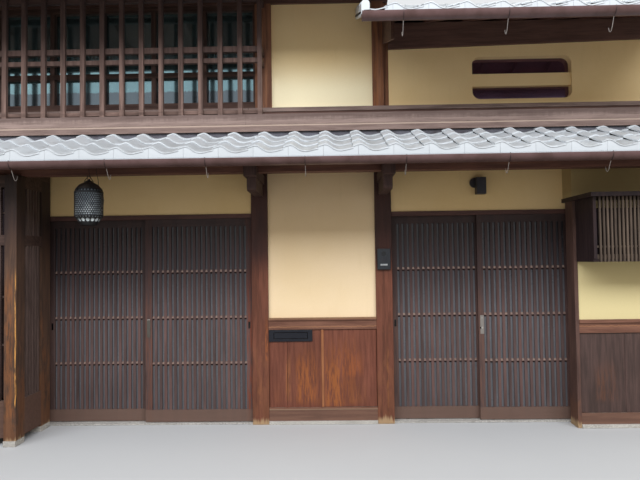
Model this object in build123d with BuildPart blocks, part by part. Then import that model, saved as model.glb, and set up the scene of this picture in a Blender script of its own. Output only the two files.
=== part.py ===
from build123d import *
from math import atan, cos, degrees, pi
import os

# A two-storey townhouse in a row, seen from the street side at -Y.
# Millimetres, +Z up. The origin lies on the ground under the middle of the plan.

# Plan, from the left end of the street front to the right end
lattice_bay_width = 1875.0
door_1_bay_width = 2045.0
middle_bay_width = 1125.0
door_2_bay_width = 1695.0
right_bay_width = 960.0
house_depth = 5900.0
lattice_bay_depth = 550.0
right_bay_depth = 170.0

# Timber sections
post_width = 150.0
bay_post_width = 100.0
bay_post_depth = 130.0
jamb_thickness = 40.0
jamb_board_thickness = 32.0
jamb_board_depth = 150.0
jamb_lap = 64.0
girder_depth = 150.0
upper_post_shift = 50.0
upper_post_rebate_width = 48.0
upper_post_rebate_depth = 40.0
seat_gap = 0.3
rail_setback = 5.0
rail_depth = 120.0
post_chamfer = 4.0

# Walls
wall_thickness = 75.0
party_wall_thickness = 120.0
plaster_setback = 30.0
board_setback = 18.0
floor_thickness = 30.0
stone_projection = 10.0
right_plaster_setback = 10.0

# Heights above the ground
sill_bottom = 30.0
sill_top = 148.0
dado_top = 848.0
rail_top = 931.0
cap_top = 953.0
right_sill_top = 125.0
right_dado_top = 812.0
right_rail_top = 900.0
right_cap_top = 928.0
lintel_bottom = 1865.0
lintel_top = 1905.0
girder_bottom = 2540.0
girder_top = 2835.0
upper_rail_top = 2872.0
right_plate_bottom = 3395.0
right_plate_rise = 55.0
roof_step = 430.0
left_plate_rise = 15.0
plate_cut_margin = 10.0
cap_projection = 8.0

# Lattice doors
threshold_top = 14.0
threshold_front = 15.0
threshold_back = 140.0
threshold_groove = 6.0
lintel_inset = 5.0
door_thickness = 28.0
front_track = 42.0
track_spacing = 44.0
door_clearance = 5.0
door_bottom = 20.0
door_stile = 50.0
door_top_rail_height = 80.0
door_bottom_rail_height = 108.0
door_bar_width = 25.0
door_bar_depth = 10.0
door_bar_setback = 4.0
door_1_left_width = 927.0
door_1_overlap = 21.0
door_1_meeting_stile = 63.0
door_1_left_bars = 18
door_1_right_bars = 19
door_2_left_width = 812.0
door_2_overlap = 40.0
door_2_meeting_stile = 50.0
door_2_left_bars = 15
door_2_right_bars = 15
cross_rail_height = 14.0
cross_rail_depth = 5.0
cross_rail_heights = (540.0, 957.0, 1378.0)
glass_thickness = 4.0
groove_depth = 20.0
door_top_engagement = 12.0
wheel_radius = 14.0
wheel_width = 8.0
wheel_inset = 120.0
pull_width = 18.0
pull_height = 62.0
pull_depth = 6.0
pull_centre_height = 888.0

# Mail slot in the middle bay
mail_plate_width = 393.0
mail_plate_height = 105.0
mail_plate_thickness = 10.0
mail_slot_width = 308.0
mail_slot_height = 60.0
mail_flap_thickness = 4.0
mail_clearance = 5.0
mail_pin_radius = 2.0
mail_inset = 2.0
mail_drop = 3.0
mail_plate_chamfer = 3.0
mail_flap_setback = 3.0

# Pent roof between the storeys
roof_pitch = 0.40
pent_overhang = 850.0
pent_eave_top = 2350.0
tile_depth = 65.0
tile_apron = 30.0
tile_apron_thickness = 22.0
deck_depth = 16.0
rafter_depth = 60.0
rafter_width = 45.0
rafter_pitch = 385.0
rafter_clearance = 3.0
batten_width = 30.0
purlin_back = 360.0
purlin_width = 110.0
purlin_bottom = 2210.0
bracket_width = 104.0
bracket_reach = 587.0
bracket_bottom = 2165.0
bracket_top = 2245.0
bracket_arm_width = 76.0
bracket_arm_reach = 490.0
bracket_arm_bottom = 2055.0
bracket_arm_round = 30.0

# Gutters
gutter_radius = 55.0
gutter_thickness = 3.0
gutter_drop = 38.0
gutter_rim_gap = 7.0
gutter_cap = 3.0
strap_pitch = 768.0
strap_width = 20.0
strap_thickness = 4.0

# Sill beam and lattice of the upper storey
sill_beam_projection = 200.0
sill_beam_top = 2765.0
lip_projection = 10.0
lip_top = 2668.0
lip_rise = 6.0
upper_bar_width = 40.0
upper_bar_depth = 32.0
upper_bar_pitch = 175.3
upper_bar_top = 3930.0
lattice_overlap = 11.0
lattice_left_inset = 20.0
upper_lattice_rail_depth = 40.0
upper_lattice_rails = ((2780.0, 2812.0), (3240.0, 3280.0), (3335.0, 3385.0), (3800.0, 3850.0))
window_setback = 20.0
window_frame_depth = 50.0
window_sill_top = 2935.0
transom_bottom = 3175.0
transom_top = 3220.0
window_head_bottom = 3790.0
window_stile = 40.0
window_lights = 8

# Slit window of the upper right wall
slit_left_inset = 765.0
slit_width = 905.0
slit_bottom = 2925.0
slit_height = 390.0
slit_radius = 70.0
slit_bar_bottom = 3047.0
slit_bar_top = 3163.0
slit_bar_setback = 20.0

# Main roofs
main_overhang = 950.0
rear_overhang = 600.0
right_eave_top = 3395.0
verge_overhang = 150.0
upper_verge_overhang = 150.0
ridge_width = 240.0
ridge_height = 190.0
ridge_shoulder = 60.0
ridge_beam_width = 120.0
ridge_beam_depth = 180.0
split_gap = 4.0
barge_thickness = 26.0
barge_wall_depth = 252.0
barge_tip_depth = 204.0
barge_reach = 700.0
barge_inset = 53.0
barge_ridge_gap = 20.0

# Lattice bay on the left
bay_stone_height = 45.0
bay_stone_margin = 8.0
bay_skirt_bottom = 60.0
bay_skirt_top = 360.0
bay_mid_rail_bottom = 1630.0
bay_mid_rail_top = 1715.0
bay_top_rail_bottom = 2110.0
bay_rail_setback = 30.0
bay_rail_depth = 60.0
bay_lattice_depth = 30.0
bay_bar_width = 22.0
bay_front_bars = 29
bay_side_bars = 5
bay_side_projection = 50.0
bay_stile_depth = 155.0
bay_cross_rails = (810.0, 1205.0, 1900.0)
bay_cross_rail_height = 16.0
bay_cross_rail_depth = 12.0
bay_board_thickness = 25.0

# Lattice window box on the right
box_depth = 330.0
box_lap = 40.0
box_roof_lap = 75.0
box_window_inset = 110.0
box_window_margin = 60.0
box_bottom = 1430.0
box_top = 1960.0
box_board = 25.0
box_roof_thickness = 35.0
box_roof_overhang = 50.0
box_end_gap = 45.0
box_bar_width = 15.0
box_bar_depth = 18.0
box_bars = 28
box_rails = ((1455.0, 1490.0), (1545.0, 1562.0))
box_rail_depth = 12.0

# Rear wall
rear_window_size = 740.0
rear_window_bottom = 1000.0
rear_upper_window_bottom = 2950.0
rear_window_bar = 24.0
rear_window_bars = 7
rear_window_frame = 45.0
rear_window_headroom = 60.0
rear_bar_inset = 6.0

# Lantern, wall lamp and intercom
lantern_radius = 112.0
lantern_inset = 668.0
lantern_reach = 600.0
lantern_bottom = 1780.0
lantern_foot_radius = 62.0
lantern_taper_top = 1852.0
lantern_shoulder = 2062.0
lantern_dome_top = 2157.0
lantern_wall = 4.0
lantern_cap_radius = 10.0
lantern_sides = 24
lantern_dome = ((102.0, 2092.0), (74.0, 2128.0), (30.0, 2150.0))
hanger_radius = 3.0
lamp_offset = 762.0
lamp_height = 2156.0
lamp_base_radius = 45.0
lamp_base_thickness = 18.0
lamp_body_width = 84.0
lamp_body_drop = 108.0
lamp_body_rise = 42.0
lamp_body_depth = 70.0
intercom_width = 118.0
intercom_height = 189.0
intercom_depth = 26.0
intercom_centre_height = 1474.0
intercom_corner = 6.0
intercom_edge = 3.0

# Worked out from the driving dimensions
frontage = (lattice_bay_width + door_1_bay_width + middle_bay_width
            + door_2_bay_width + right_bay_width)
left_end = -frontage / 2
right_end = frontage / 2
front = -house_depth / 2
back = house_depth / 2
post_1_x = left_end + lattice_bay_width
post_2_x = post_1_x + door_1_bay_width
post_3_x = post_2_x + middle_bay_width
reveal_x = post_3_x + door_2_bay_width
jamb_face_x = reveal_x - jamb_lap
jamb_x = jamb_face_x + jamb_board_thickness
left_inside = left_end + party_wall_thickness
right_inside = right_end - party_wall_thickness
upper_post_2_x = post_2_x + upper_post_shift
half_post = post_width / 2
opening_1 = (post_1_x + half_post, post_2_x - half_post)
opening_2 = (post_3_x + half_post, reveal_x)
middle_bay = (post_2_x + half_post, post_3_x - half_post)

pent_edge = front - pent_overhang
main_edge = front - main_overhang
rear_edge = back + rear_overhang
left_eave_top = right_eave_top + roof_step
left_plate_bottom = right_plate_bottom + roof_step + left_plate_rise
under_deck = tile_depth + deck_depth
under_batten = under_deck + batten_width
under_roof = under_deck + rafter_depth
under_rafters = under_roof + rafter_clearance


def pent_z(y, drop=0.0):
    """Height of the pent roof's tile face above the point y, less a drop."""
    return pent_eave_top + roof_pitch * (y - pent_edge) - drop


def main_z(y, eave_top, drop=0.0):
    """Height of a main roof's tile face above the point y, on either slope."""
    run = y - main_edge if y <= 0 else -main_edge - y
    return eave_top + roof_pitch * run - drop


def piece(x, y, z, mode=Mode.ADD):
    """Add a squared piece that fills three ranges to the part being built."""
    with Locations(((x[0] + x[1]) / 2, (y[0] + y[1]) / 2, (z[0] + z[1]) / 2)):
        Box(x[1] - x[0], y[1] - y[0], z[1] - z[0], mode=mode)


def along_x(x, points, mode=Mode.ADD):
    """Add a piece with the outline of (y, z) points, over a range of x."""
    with BuildSketch(Plane.YZ.offset(x[0])) as outline:
        with BuildLine():
            Polyline(*points, close=True)
        make_face()
    extrude(outline.sketch, amount=x[1] - x[0], mode=mode)


def rows_along_x(starts, width, points):
    """Add like pieces of one width with the outline of (y, z) points, at several x."""
    with BuildSketch(*[Plane.YZ.offset(start) for start in starts]) as outlines:
        with BuildLine():
            Polyline(*points, close=True)
        make_face()
    extrude(outlines.sketch, amount=width)


def uprights(centres, width, y, z):
    """Add squared uprights of one width at several x, between two heights."""
    with Locations(*[(centre, (y[0] + y[1]) / 2, (z[0] + z[1]) / 2) for centre in centres]):
        Box(width, y[1] - y[0], z[1] - z[0])


def cross_rails(x, y, centres, height):
    """Add squared level rails of one height at several z, over a range of x."""
    with Locations(*[((x[0] + x[1]) / 2, (y[0] + y[1]) / 2, centre) for centre in centres]):
        Box(x[1] - x[0], y[1] - y[0], height)


def along_y(y, points, mode=Mode.ADD):
    """Add a piece with the outline of (x, z) points, over a range of y."""
    with BuildSketch(Plane.XZ.offset(-y[0])) as outline:
        with BuildLine():
            Polyline(*points, close=True)
        make_face()
    extrude(outline.sketch, amount=y[0] - y[1], mode=mode)


def spread(first, last, count):
    """Centres of count like pieces that stand evenly between two faces."""
    step = (last - first) / (count + 1)
    return [first + step * (index + 1) for index in range(count)]


def keep(built, label):
    """Label a finished piece and write it to its own file."""
    built.part.label = label
    export_step(built.part, f"parts/{label}.step")


os.makedirs("parts", exist_ok=True)

# Ground floor slab inside the walls
with BuildPart() as ground_slab:
    piece((left_inside, right_inside), (front + post_width, back - post_width), (0, floor_thickness))
keep(ground_slab, "ground_slab")

# Stone strips that carry the wooden sills of the closed bays
right_face = front - right_bay_depth
with BuildPart() as stone_strips:
    piece(middle_bay, (front - stone_projection, front + post_width), (0, sill_bottom))
    piece((jamb_x, right_inside), (right_face - stone_projection, front), (0, sill_bottom))
    piece((left_inside, right_inside), (back - post_width, back), (0, sill_bottom))
keep(stone_strips, "stone_strips")

# Posts of the street front, which stand on the ground
with BuildPart() as front_posts:
    for x in (post_1_x, post_2_x, post_3_x):
        piece((x - half_post, x + half_post), (front, front + post_width), (0, girder_bottom))
    upright_edges = front_posts.edges().filter_by(Axis.Z)
    chamfer(upright_edges.group_by(Axis.Y)[0], length=post_chamfer)
keep(front_posts, "front_posts")

# Jamb of the right bay: a board across its end, and the post behind it that the second door shuts on
right_rail_y = (right_face + rail_setback, right_face + rail_setback + rail_depth)
with BuildPart() as right_jamb:
    piece((jamb_face_x, jamb_x), (right_face, right_face + jamb_board_depth), (0, box_top))
    along_x((reveal_x, reveal_x + jamb_thickness), [
        (right_rail_y[1], sill_bottom),
        (front, sill_bottom),
        (front, 0),
        (front + threshold_back, 0),
        (front + threshold_back, girder_bottom),
        (front, girder_bottom),
        (right_rail_y[1], pent_z(right_rail_y[1], under_rafters)),
    ])
keep(right_jamb, "right_jamb")

# Wooden sill, dado rail and cap of the middle bay and of the right bay
with BuildPart() as wall_rails:
    middle_rail_y = (front + rail_setback, front + rail_setback + rail_depth)
    piece(middle_bay, middle_rail_y, (sill_bottom, sill_top))
    piece(middle_bay, middle_rail_y, (dado_top, rail_top))
    piece(middle_bay, (front - cap_projection, middle_rail_y[1]), (rail_top, cap_top))
    right_x = (jamb_x, right_inside)
    piece(right_x, right_rail_y, (sill_bottom, right_sill_top))
    piece(right_x, right_rail_y, (right_dado_top, right_rail_top))
    piece(right_x, (right_face - cap_projection, right_rail_y[1]), (right_rail_top, right_cap_top))
keep(wall_rails, "wall_rails")

# Board dado, with the letter opening cut through the middle bay
mail_x = (middle_bay[0] + mail_inset, middle_bay[0] + mail_inset + mail_plate_width)
mail_centre_x = (mail_x[0] + mail_x[1]) / 2
mail_z = (dado_top - mail_drop - mail_plate_height, dado_top - mail_drop)
mail_centre_z = (mail_z[0] + mail_z[1]) / 2
mail_slot_x = (mail_centre_x - mail_slot_width / 2, mail_centre_x + mail_slot_width / 2)
mail_slot_z = (mail_centre_z - mail_slot_height / 2, mail_centre_z + mail_slot_height / 2)
board_face = front + board_setback
with BuildPart() as wall_boards:
    piece(middle_bay, (board_face, board_face + wall_thickness), (sill_top, dado_top))
    piece((mail_slot_x[0] - mail_clearance, mail_slot_x[1] + mail_clearance),
          (board_face, board_face + wall_thickness),
          (mail_slot_z[0] - mail_clearance, mail_slot_z[1] + mail_clearance), mode=Mode.SUBTRACT)
    right_board_face = right_face + board_setback
    piece(right_x, (right_board_face, right_board_face + wall_thickness), (right_sill_top, right_dado_top))
keep(wall_boards, "wall_boards")

# Plaster between the middle posts
plaster_y = (front + plaster_setback, front + plaster_setback + wall_thickness)
with BuildPart() as middle_plaster:
    piece(middle_bay, plaster_y, (cap_top, girder_bottom))
keep(middle_plaster, "middle_plaster")

# Plaster over the two doors
with BuildPart() as door_plaster:
    piece(opening_1, plaster_y, (lintel_top, girder_bottom))
    piece(opening_2, plaster_y, (lintel_top, girder_bottom))
keep(door_plaster, "door_plaster")

# Plaster of the right bay, which turns the corner above the board of the window box
right_plaster_face = right_face + right_plaster_setback
right_plaster_y = (right_plaster_face, right_plaster_face + wall_thickness)
right_plaster_top = pent_z(right_plaster_face, under_rafters)
corner_x = (jamb_face_x, reveal_x)
box_x = (reveal_x - box_lap, right_end - box_end_gap)
box_roof_z = (box_top, box_top + box_roof_thickness)
box_window_x = (box_x[0] + box_window_inset, box_x[1] - box_window_inset)
box_window_z = (box_bottom + box_window_margin, box_top - box_window_margin)
with BuildPart() as right_plaster:
    piece(right_x, right_plaster_y, (right_cap_top, box_roof_z[0]))
    piece((corner_x[1], right_inside), right_plaster_y, (box_roof_z[0], right_plaster_top))
    piece(corner_x, (right_plaster_y[0], plaster_y[0]), (box_roof_z[1], right_plaster_top))
    piece(box_window_x, right_plaster_y, box_window_z, mode=Mode.SUBTRACT)
keep(right_plaster, "right_plaster")

# Lintels with a groove for each sliding panel
front_door_y = (front + front_track, front + front_track + door_thickness)
back_door_y = (front_door_y[0] + track_spacing, front_door_y[1] + track_spacing)
with BuildPart() as door_lintels:
    for opening in (opening_1, opening_2):
        piece(opening, (front + threshold_front + lintel_inset, front + threshold_back - lintel_inset),
              (lintel_bottom, lintel_top))
        for track in (front_door_y, back_door_y):
            piece(opening, (track[0] - door_clearance, track[1] + door_clearance),
                  (lintel_bottom, lintel_bottom + groove_depth), mode=Mode.SUBTRACT)
keep(door_lintels, "door_lintels")

# Stone thresholds with a shallow groove under each panel
with BuildPart() as door_thresholds:
    for opening in (opening_1, opening_2):
        piece(opening, (front + threshold_front, front + threshold_back), (0, threshold_top))
        for track in (front_door_y, back_door_y):
            middle = (track[0] + track[1]) / 2
            piece(opening, (middle - threshold_groove, middle + threshold_groove),
                  (threshold_top - threshold_groove, threshold_top), mode=Mode.SUBTRACT)
keep(door_thresholds, "door_thresholds")


def door_panel(x, y, field_x, bars, pull_x):
    """Fill the part being built with one lattice panel, whose bars stand between the values of field_x."""
    top = lintel_bottom + door_top_engagement
    field_z = (door_bottom + door_bottom_rail_height, top - door_top_rail_height)
    piece(x, y, (door_bottom, top))
    piece(field_x, y, field_z, mode=Mode.SUBTRACT)
    bar_y = (y[0] + door_bar_setback, y[0] + door_bar_setback + door_bar_depth)
    half_bar = door_bar_width / 2
    uprights(spread(field_x[0] - half_bar, field_x[1] + half_bar, bars), door_bar_width, bar_y, field_z)
    rail_y = (bar_y[1], bar_y[1] + cross_rail_depth)
    cross_rails(field_x, rail_y, cross_rail_heights, cross_rail_height)
    piece((pull_x - pull_width / 2, pull_x + pull_width / 2), (y[0], y[0] + pull_depth),
          (pull_centre_height - pull_height / 2, pull_centre_height + pull_height / 2), mode=Mode.SUBTRACT)
    wheel_z = threshold_top - threshold_groove + seat_gap + wheel_radius
    wheel_y = (y[0] + y[1]) / 2
    for wheel_x in (x[0] + wheel_inset, x[1] - wheel_inset):
        with Locations((wheel_x, wheel_y, wheel_z)):
            Cylinder(wheel_radius, wheel_width, rotation=(90, 0, 0))


def door_glass(y, field_x):
    """Fill the part being built with the sheet of glass behind a panel's bars."""
    top = lintel_bottom + door_top_engagement
    glass_front = y[0] + door_bar_setback + door_bar_depth + cross_rail_depth
    piece(field_x, (glass_front, glass_front + glass_thickness),
          (door_bottom + door_bottom_rail_height, top - door_top_rail_height))


# Four lattice panels: in each pair the left one runs on the back track and the right one laps over it
half_stile = door_stile / 2
doors = (
    ("door_1", opening_1, door_1_left_width, door_1_overlap, door_1_meeting_stile,
     door_1_left_bars, door_1_right_bars),
    ("door_2", opening_2, door_2_left_width, door_2_overlap, door_2_meeting_stile,
     door_2_left_bars, door_2_right_bars),
)
for door, opening, left_width, overlap, meeting_stile, left_bars, right_bars in doors:
    left_x = (opening[0] + door_clearance, opening[0] + door_clearance + left_width)
    right_x = (left_x[1] - overlap, opening[1] - door_clearance)
    left_field = (left_x[0] + door_stile, left_x[1] - meeting_stile)
    right_field = (right_x[0] + meeting_stile, right_x[1] - door_stile)
    with BuildPart() as left_panel:
        door_panel(left_x, back_door_y, left_field, left_bars, left_x[0] + half_stile)
    keep(left_panel, f"{door}_left_panel")
    with BuildPart() as left_glass:
        door_glass(back_door_y, left_field)
    keep(left_glass, f"{door}_left_glass")
    with BuildPart() as right_panel:
        door_panel(right_x, front_door_y, right_field, right_bars, right_x[1] - half_stile)
    keep(right_panel, f"{door}_right_panel")
    with BuildPart() as right_glass:
        door_glass(front_door_y, right_field)
    keep(right_glass, f"{door}_right_glass")
    print(door, "left panel slides", right_x[1] - left_x[1], "right panel slides", right_x[0] - left_x[0])

# Mail slot plate and the flap that swings inwards from its top edge
plate_y = (board_face - mail_plate_thickness, board_face)
with BuildPart() as mail_plate:
    piece(mail_x, plate_y, mail_z)
    piece(mail_slot_x, plate_y, mail_slot_z, mode=Mode.SUBTRACT)
    face_edges = mail_plate.edges().group_by(Axis.Y)[0].filter_by(Axis.X)
    chamfer(face_edges.group_by(Axis.Z)[-1], length=mail_plate_chamfer)
keep(mail_plate, "mail_plate")

flap_x = (mail_slot_x[0] + mail_clearance, mail_slot_x[1] - mail_clearance)
flap_z = (mail_slot_z[0] + mail_clearance, mail_slot_z[1] - mail_clearance)
flap_y = (plate_y[0] + mail_flap_setback, plate_y[0] + mail_flap_setback + mail_flap_thickness)
flap_pivot = ((flap_y[0] + flap_y[1]) / 2, flap_z[1] - mail_pin_radius)
with BuildPart() as mail_flap:
    piece(flap_x, flap_y, flap_z)
    pin_length = mail_slot_width - 2 * seat_gap
    with Locations((mail_centre_x, flap_pivot[0], flap_pivot[1])):
        Cylinder(mail_pin_radius, pin_length, rotation=(0, 90, 0))
keep(mail_flap, "mail_flap")
print("mail flap pivot", mail_centre_x, flap_pivot)

# Projecting lattice bay: posts, rails, lattices and boards
bay_face = front - lattice_bay_depth
bay_side_x = post_1_x + half_post + bay_side_projection
bay_post_y = (bay_face, bay_face + bay_post_depth)
bay_stile_y = (front - bay_stile_depth, front)
bay_post_left = (left_end, left_end + bay_post_width)
bay_post_right = (bay_side_x - bay_post_width, bay_side_x)
with BuildPart() as bay_stones:
    for post_x in (bay_post_left, bay_post_right):
        piece(post_x, (bay_post_y[0] - bay_stone_margin, bay_post_y[1]), (0, bay_stone_height))
    piece(bay_post_right, bay_stile_y, (0, bay_stone_height))
keep(bay_stones, "bay_stones")

with BuildPart() as bay_posts:
    for post_x in (bay_post_left, bay_post_right):
        piece(post_x, bay_post_y, (bay_stone_height, purlin_bottom))
    piece(bay_post_right, bay_stile_y, (bay_stone_height, purlin_bottom))
keep(bay_posts, "bay_posts")

bay_front_x = (bay_post_left[1], bay_post_right[0])
bay_side_y = (bay_post_y[1], bay_stile_y[0])
bay_rail_y = (bay_face + bay_rail_setback, bay_face + bay_rail_setback + bay_rail_depth)
bay_rail_x = (bay_side_x - bay_rail_depth, bay_side_x)
with BuildPart() as bay_rails:
    for low, high in ((bay_mid_rail_bottom, bay_mid_rail_top), (bay_top_rail_bottom, purlin_bottom)):
        piece(bay_front_x, bay_rail_y, (low, high))
        piece(bay_rail_x, bay_side_y, (low, high))
keep(bay_rails, "bay_rails")

bay_lattice_y = (bay_rail_y[0], bay_rail_y[0] + bay_lattice_depth)
bay_lattice_x = (bay_side_x - bay_lattice_depth, bay_side_x)
bay_fields = ((bay_skirt_top, bay_mid_rail_bottom), (bay_mid_rail_top, bay_top_rail_bottom))
behind_y = (bay_lattice_y[1], bay_lattice_y[1] + bay_cross_rail_depth)
behind_x = bay_lattice_x[0] - bay_cross_rail_depth / 2
with BuildPart() as bay_lattice:
    for low, high in bay_fields:
        heights = [height for height in bay_cross_rails if low < height < high]
        middle = (low + high) / 2
        front_bars = spread(bay_front_x[0], bay_front_x[1], bay_front_bars)
        uprights(front_bars, bay_bar_width, bay_lattice_y, (low, high))
        cross_rails(bay_front_x, behind_y, heights, bay_cross_rail_height)
        side_bars = spread(bay_side_y[0], bay_side_y[1], bay_side_bars)
        lattice_middle = (bay_lattice_x[0] + bay_lattice_x[1]) / 2
        with Locations(*[(lattice_middle, centre, middle) for centre in side_bars]):
            Box(bay_lattice_depth, bay_bar_width, high - low)
        side_middle = (bay_side_y[0] + bay_side_y[1]) / 2
        with Locations(*[(behind_x, side_middle, height) for height in heights]):
            Box(bay_cross_rail_depth, bay_side_y[1] - bay_side_y[0], bay_cross_rail_height)
keep(bay_lattice, "bay_lattice")

with BuildPart() as bay_boards:
    skirt_z = (bay_skirt_bottom, bay_skirt_top)
    piece(bay_front_x, (bay_rail_y[0], bay_rail_y[0] + bay_board_thickness), skirt_z)
    piece((bay_side_x - bay_board_thickness, bay_side_x), bay_side_y, skirt_z)
    upper_side = (front - purlin_back, front)
    along_x((bay_side_x - bay_board_thickness, bay_side_x), [
        (upper_side[0], purlin_bottom),
        (upper_side[1], purlin_bottom),
        (upper_side[1], pent_z(upper_side[1], under_rafters)),
        (upper_side[0], pent_z(upper_side[0], under_rafters)),
    ])
keep(bay_boards, "bay_boards")

# Lattice window box of the right bay
box_face = right_face - box_depth
box_y = (box_face, right_face)
box_bar_y = (box_y[0], box_y[0] + box_bar_depth)
box_side_z = (box_bottom + box_board + seat_gap, box_top - seat_gap)
with BuildPart() as window_box:
    piece(box_x, (box_bar_y[1], box_y[1]), (box_bottom, box_bottom + box_board))
    for side in (box_x[0], box_x[1] - box_board):
        piece((side, side + box_board), box_y, box_side_z)
    box_roof_left = reveal_x - box_roof_lap
    piece((box_roof_left, box_x[1]), (box_y[0] - box_roof_overhang, box_y[1]), box_roof_z)
    piece((box_roof_left, corner_x[1]), (box_y[1], plaster_y[0]), box_roof_z)
keep(window_box, "window_box")

box_field_x = (box_x[0] + box_board, box_x[1] - box_board)
with BuildPart() as box_lattice:
    bar_centres = spread(box_field_x[0], box_field_x[1], box_bars)
    uprights(bar_centres, box_bar_width, box_bar_y, (box_bottom, box_top))
    for rail_z in box_rails:
        piece(box_field_x, (box_bar_y[1], box_bar_y[1] + box_rail_depth), rail_z)
keep(box_lattice, "box_lattice")

# Eave purlin, let into the brackets that stand out from the posts
purlin_y = (front - purlin_back - purlin_width, front - purlin_back)
with BuildPart() as eave_purlin:
    along_x((left_end, right_end), [
        (purlin_y[0], purlin_bottom),
        (purlin_y[1], purlin_bottom),
        (purlin_y[1], pent_z(purlin_y[1], under_roof)),
        (purlin_y[0], pent_z(purlin_y[0], under_roof)),
    ])
keep(eave_purlin, "eave_purlin")

# Each bracket is a beam end that carries the purlin, over a narrower arm with a rounded nose
with BuildPart() as eave_brackets:
    for x in (post_2_x, post_3_x):
        with BuildSketch(Plane.YZ.offset(x - bracket_width / 2)) as beam_end:
            with BuildLine():
                nose = front - bracket_reach
                Polyline((front, bracket_bottom), (front, bracket_top), (purlin_y[1], bracket_top),
                         (purlin_y[1], purlin_bottom), (purlin_y[0], purlin_bottom),
                         (purlin_y[0], bracket_top), (nose, bracket_top),
                         (nose, bracket_bottom), close=True)
            make_face()
        extrude(beam_end.sketch, amount=bracket_width)
        with BuildSketch(Plane.YZ.offset(x - bracket_arm_width / 2)) as arm:
            with BuildLine():
                arm_nose = front - bracket_arm_reach
                Polyline((arm_nose + bracket_arm_round, bracket_arm_bottom),
                         (front, bracket_arm_bottom), (front, bracket_bottom),
                         (arm_nose, bracket_bottom),
                         (arm_nose, bracket_arm_bottom + bracket_arm_round))
                CenterArc((arm_nose + bracket_arm_round, bracket_arm_bottom + bracket_arm_round),
                          bracket_arm_round, 180, 90)
            make_face()
        extrude(arm.sketch, amount=bracket_arm_width)
keep(eave_brackets, "eave_brackets")

# Pent roof: rafters under a board deck, with tiles that turn down over the edge
pent_x = (left_end, right_end)
rafter_count = int((frontage - 2 * party_wall_thickness) // rafter_pitch)
rafter_centres = spread(left_inside, right_inside, rafter_count)
deck_edge = pent_edge + tile_apron_thickness
batten_back = deck_edge + batten_width
with BuildPart() as pent_roof_boards:
    along_x(pent_x, [
        (deck_edge, pent_z(deck_edge, under_deck)),
        (front, pent_z(front, under_deck)),
        (front, pent_z(front, tile_depth)),
        (deck_edge, pent_z(deck_edge, tile_depth)),
    ])
    along_x(pent_x, [
        (deck_edge, pent_z(deck_edge, under_batten)),
        (batten_back, pent_z(batten_back, under_batten)),
        (batten_back, pent_z(batten_back, under_deck)),
        (deck_edge, pent_z(deck_edge, under_deck)),
    ])
    rows_along_x([centre - rafter_width / 2 for centre in rafter_centres], rafter_width, [
        (batten_back, pent_z(batten_back, under_roof)),
        (front, pent_z(front, under_roof)),
        (front, pent_z(front, under_deck)),
        (batten_back, pent_z(batten_back, under_deck)),
    ])
keep(pent_roof_boards, "pent_roof_boards")

with BuildPart() as pent_roof_tiles:
    along_x(pent_x, [
        (pent_edge, pent_z(pent_edge, tile_depth + tile_apron)),
        (deck_edge, pent_z(deck_edge, tile_depth + tile_apron)),
        (deck_edge, pent_z(deck_edge, tile_depth)),
        (front, pent_z(front, tile_depth)),
        (front, pent_z(front)),
        (pent_edge, pent_z(pent_edge)),
    ])
keep(pent_roof_tiles, "pent_roof_tiles")


def gutter(x, edge, eave_top):
    """Fill the part being built with a half-round gutter that hangs on straps."""
    rim = eave_top - tile_depth - tile_apron - gutter_rim_gap
    centre_y = edge - gutter_drop
    strap_y = (centre_y + gutter_radius, edge + tile_apron_thickness)
    trough_x = (x[0] + gutter_cap, x[1] - gutter_cap)
    for reach, wall, mode in ((x, 0.0, Mode.ADD), (trough_x, gutter_thickness, Mode.SUBTRACT)):
        with BuildSketch(Plane.YZ.offset(reach[0])) as section:
            with Locations((centre_y, rim)):
                Circle(gutter_radius - wall)
            with Locations((centre_y, rim + gutter_radius)):
                Rectangle(4 * gutter_radius, 2 * gutter_radius, mode=Mode.SUBTRACT)
        extrude(section.sketch, amount=reach[1] - reach[0], mode=mode)
    straps = spread(x[0], x[1], int((x[1] - x[0]) // strap_pitch))
    uprights(straps, strap_width, (strap_y[0] - gutter_thickness, strap_y[1]), (rim - strap_thickness, rim))
    uprights(straps, strap_width, (strap_y[1] - strap_thickness, strap_y[1]), (rim, rim + gutter_rim_gap))


with BuildPart() as pent_gutter:
    gutter(pent_x, pent_edge, pent_eave_top)
keep(pent_gutter, "pent_gutter")

# Girder at floor height and the wooden rail on it
with BuildPart() as front_girder:
    piece((left_inside, right_inside), (front, front + girder_depth), (girder_bottom, girder_top))
keep(front_girder, "front_girder")

with BuildPart() as upper_rail:
    upper_rail_y = (front - cap_projection, front + girder_depth)
    piece((left_inside, right_inside), upper_rail_y, (girder_top, upper_rail_top))
keep(upper_rail, "upper_rail")

# Sill beam that lies on the pent roof, with a lip over the tiles
sill_front = front - sill_beam_projection
lip_front = sill_front - lip_projection
with BuildPart() as sill_beam:
    along_x(pent_x, [
        (lip_front, pent_z(lip_front) + seat_gap),
        (front, pent_z(front) + seat_gap),
        (front, sill_beam_top),
        (sill_front, sill_beam_top),
        (sill_front, lip_top + lip_rise),
        (lip_front, lip_top),
    ])
keep(sill_beam, "sill_beam")

# Posts, plaster, window and lattice of the upper storey
upper_post_2 = (upper_post_2_x - half_post, upper_post_2_x + half_post)
upper_post_3 = (post_3_x - half_post, post_3_x + half_post)
with BuildPart() as upper_posts:
    for post_x in (upper_post_2, upper_post_3):
        piece(post_x, (front, front + girder_depth), (upper_rail_top, left_plate_bottom))
    piece((upper_post_3[1] - upper_post_rebate_width, upper_post_3[1]),
          (front, front + upper_post_rebate_depth), (upper_rail_top, left_plate_bottom), mode=Mode.SUBTRACT)
keep(upper_posts, "upper_posts")

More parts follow.
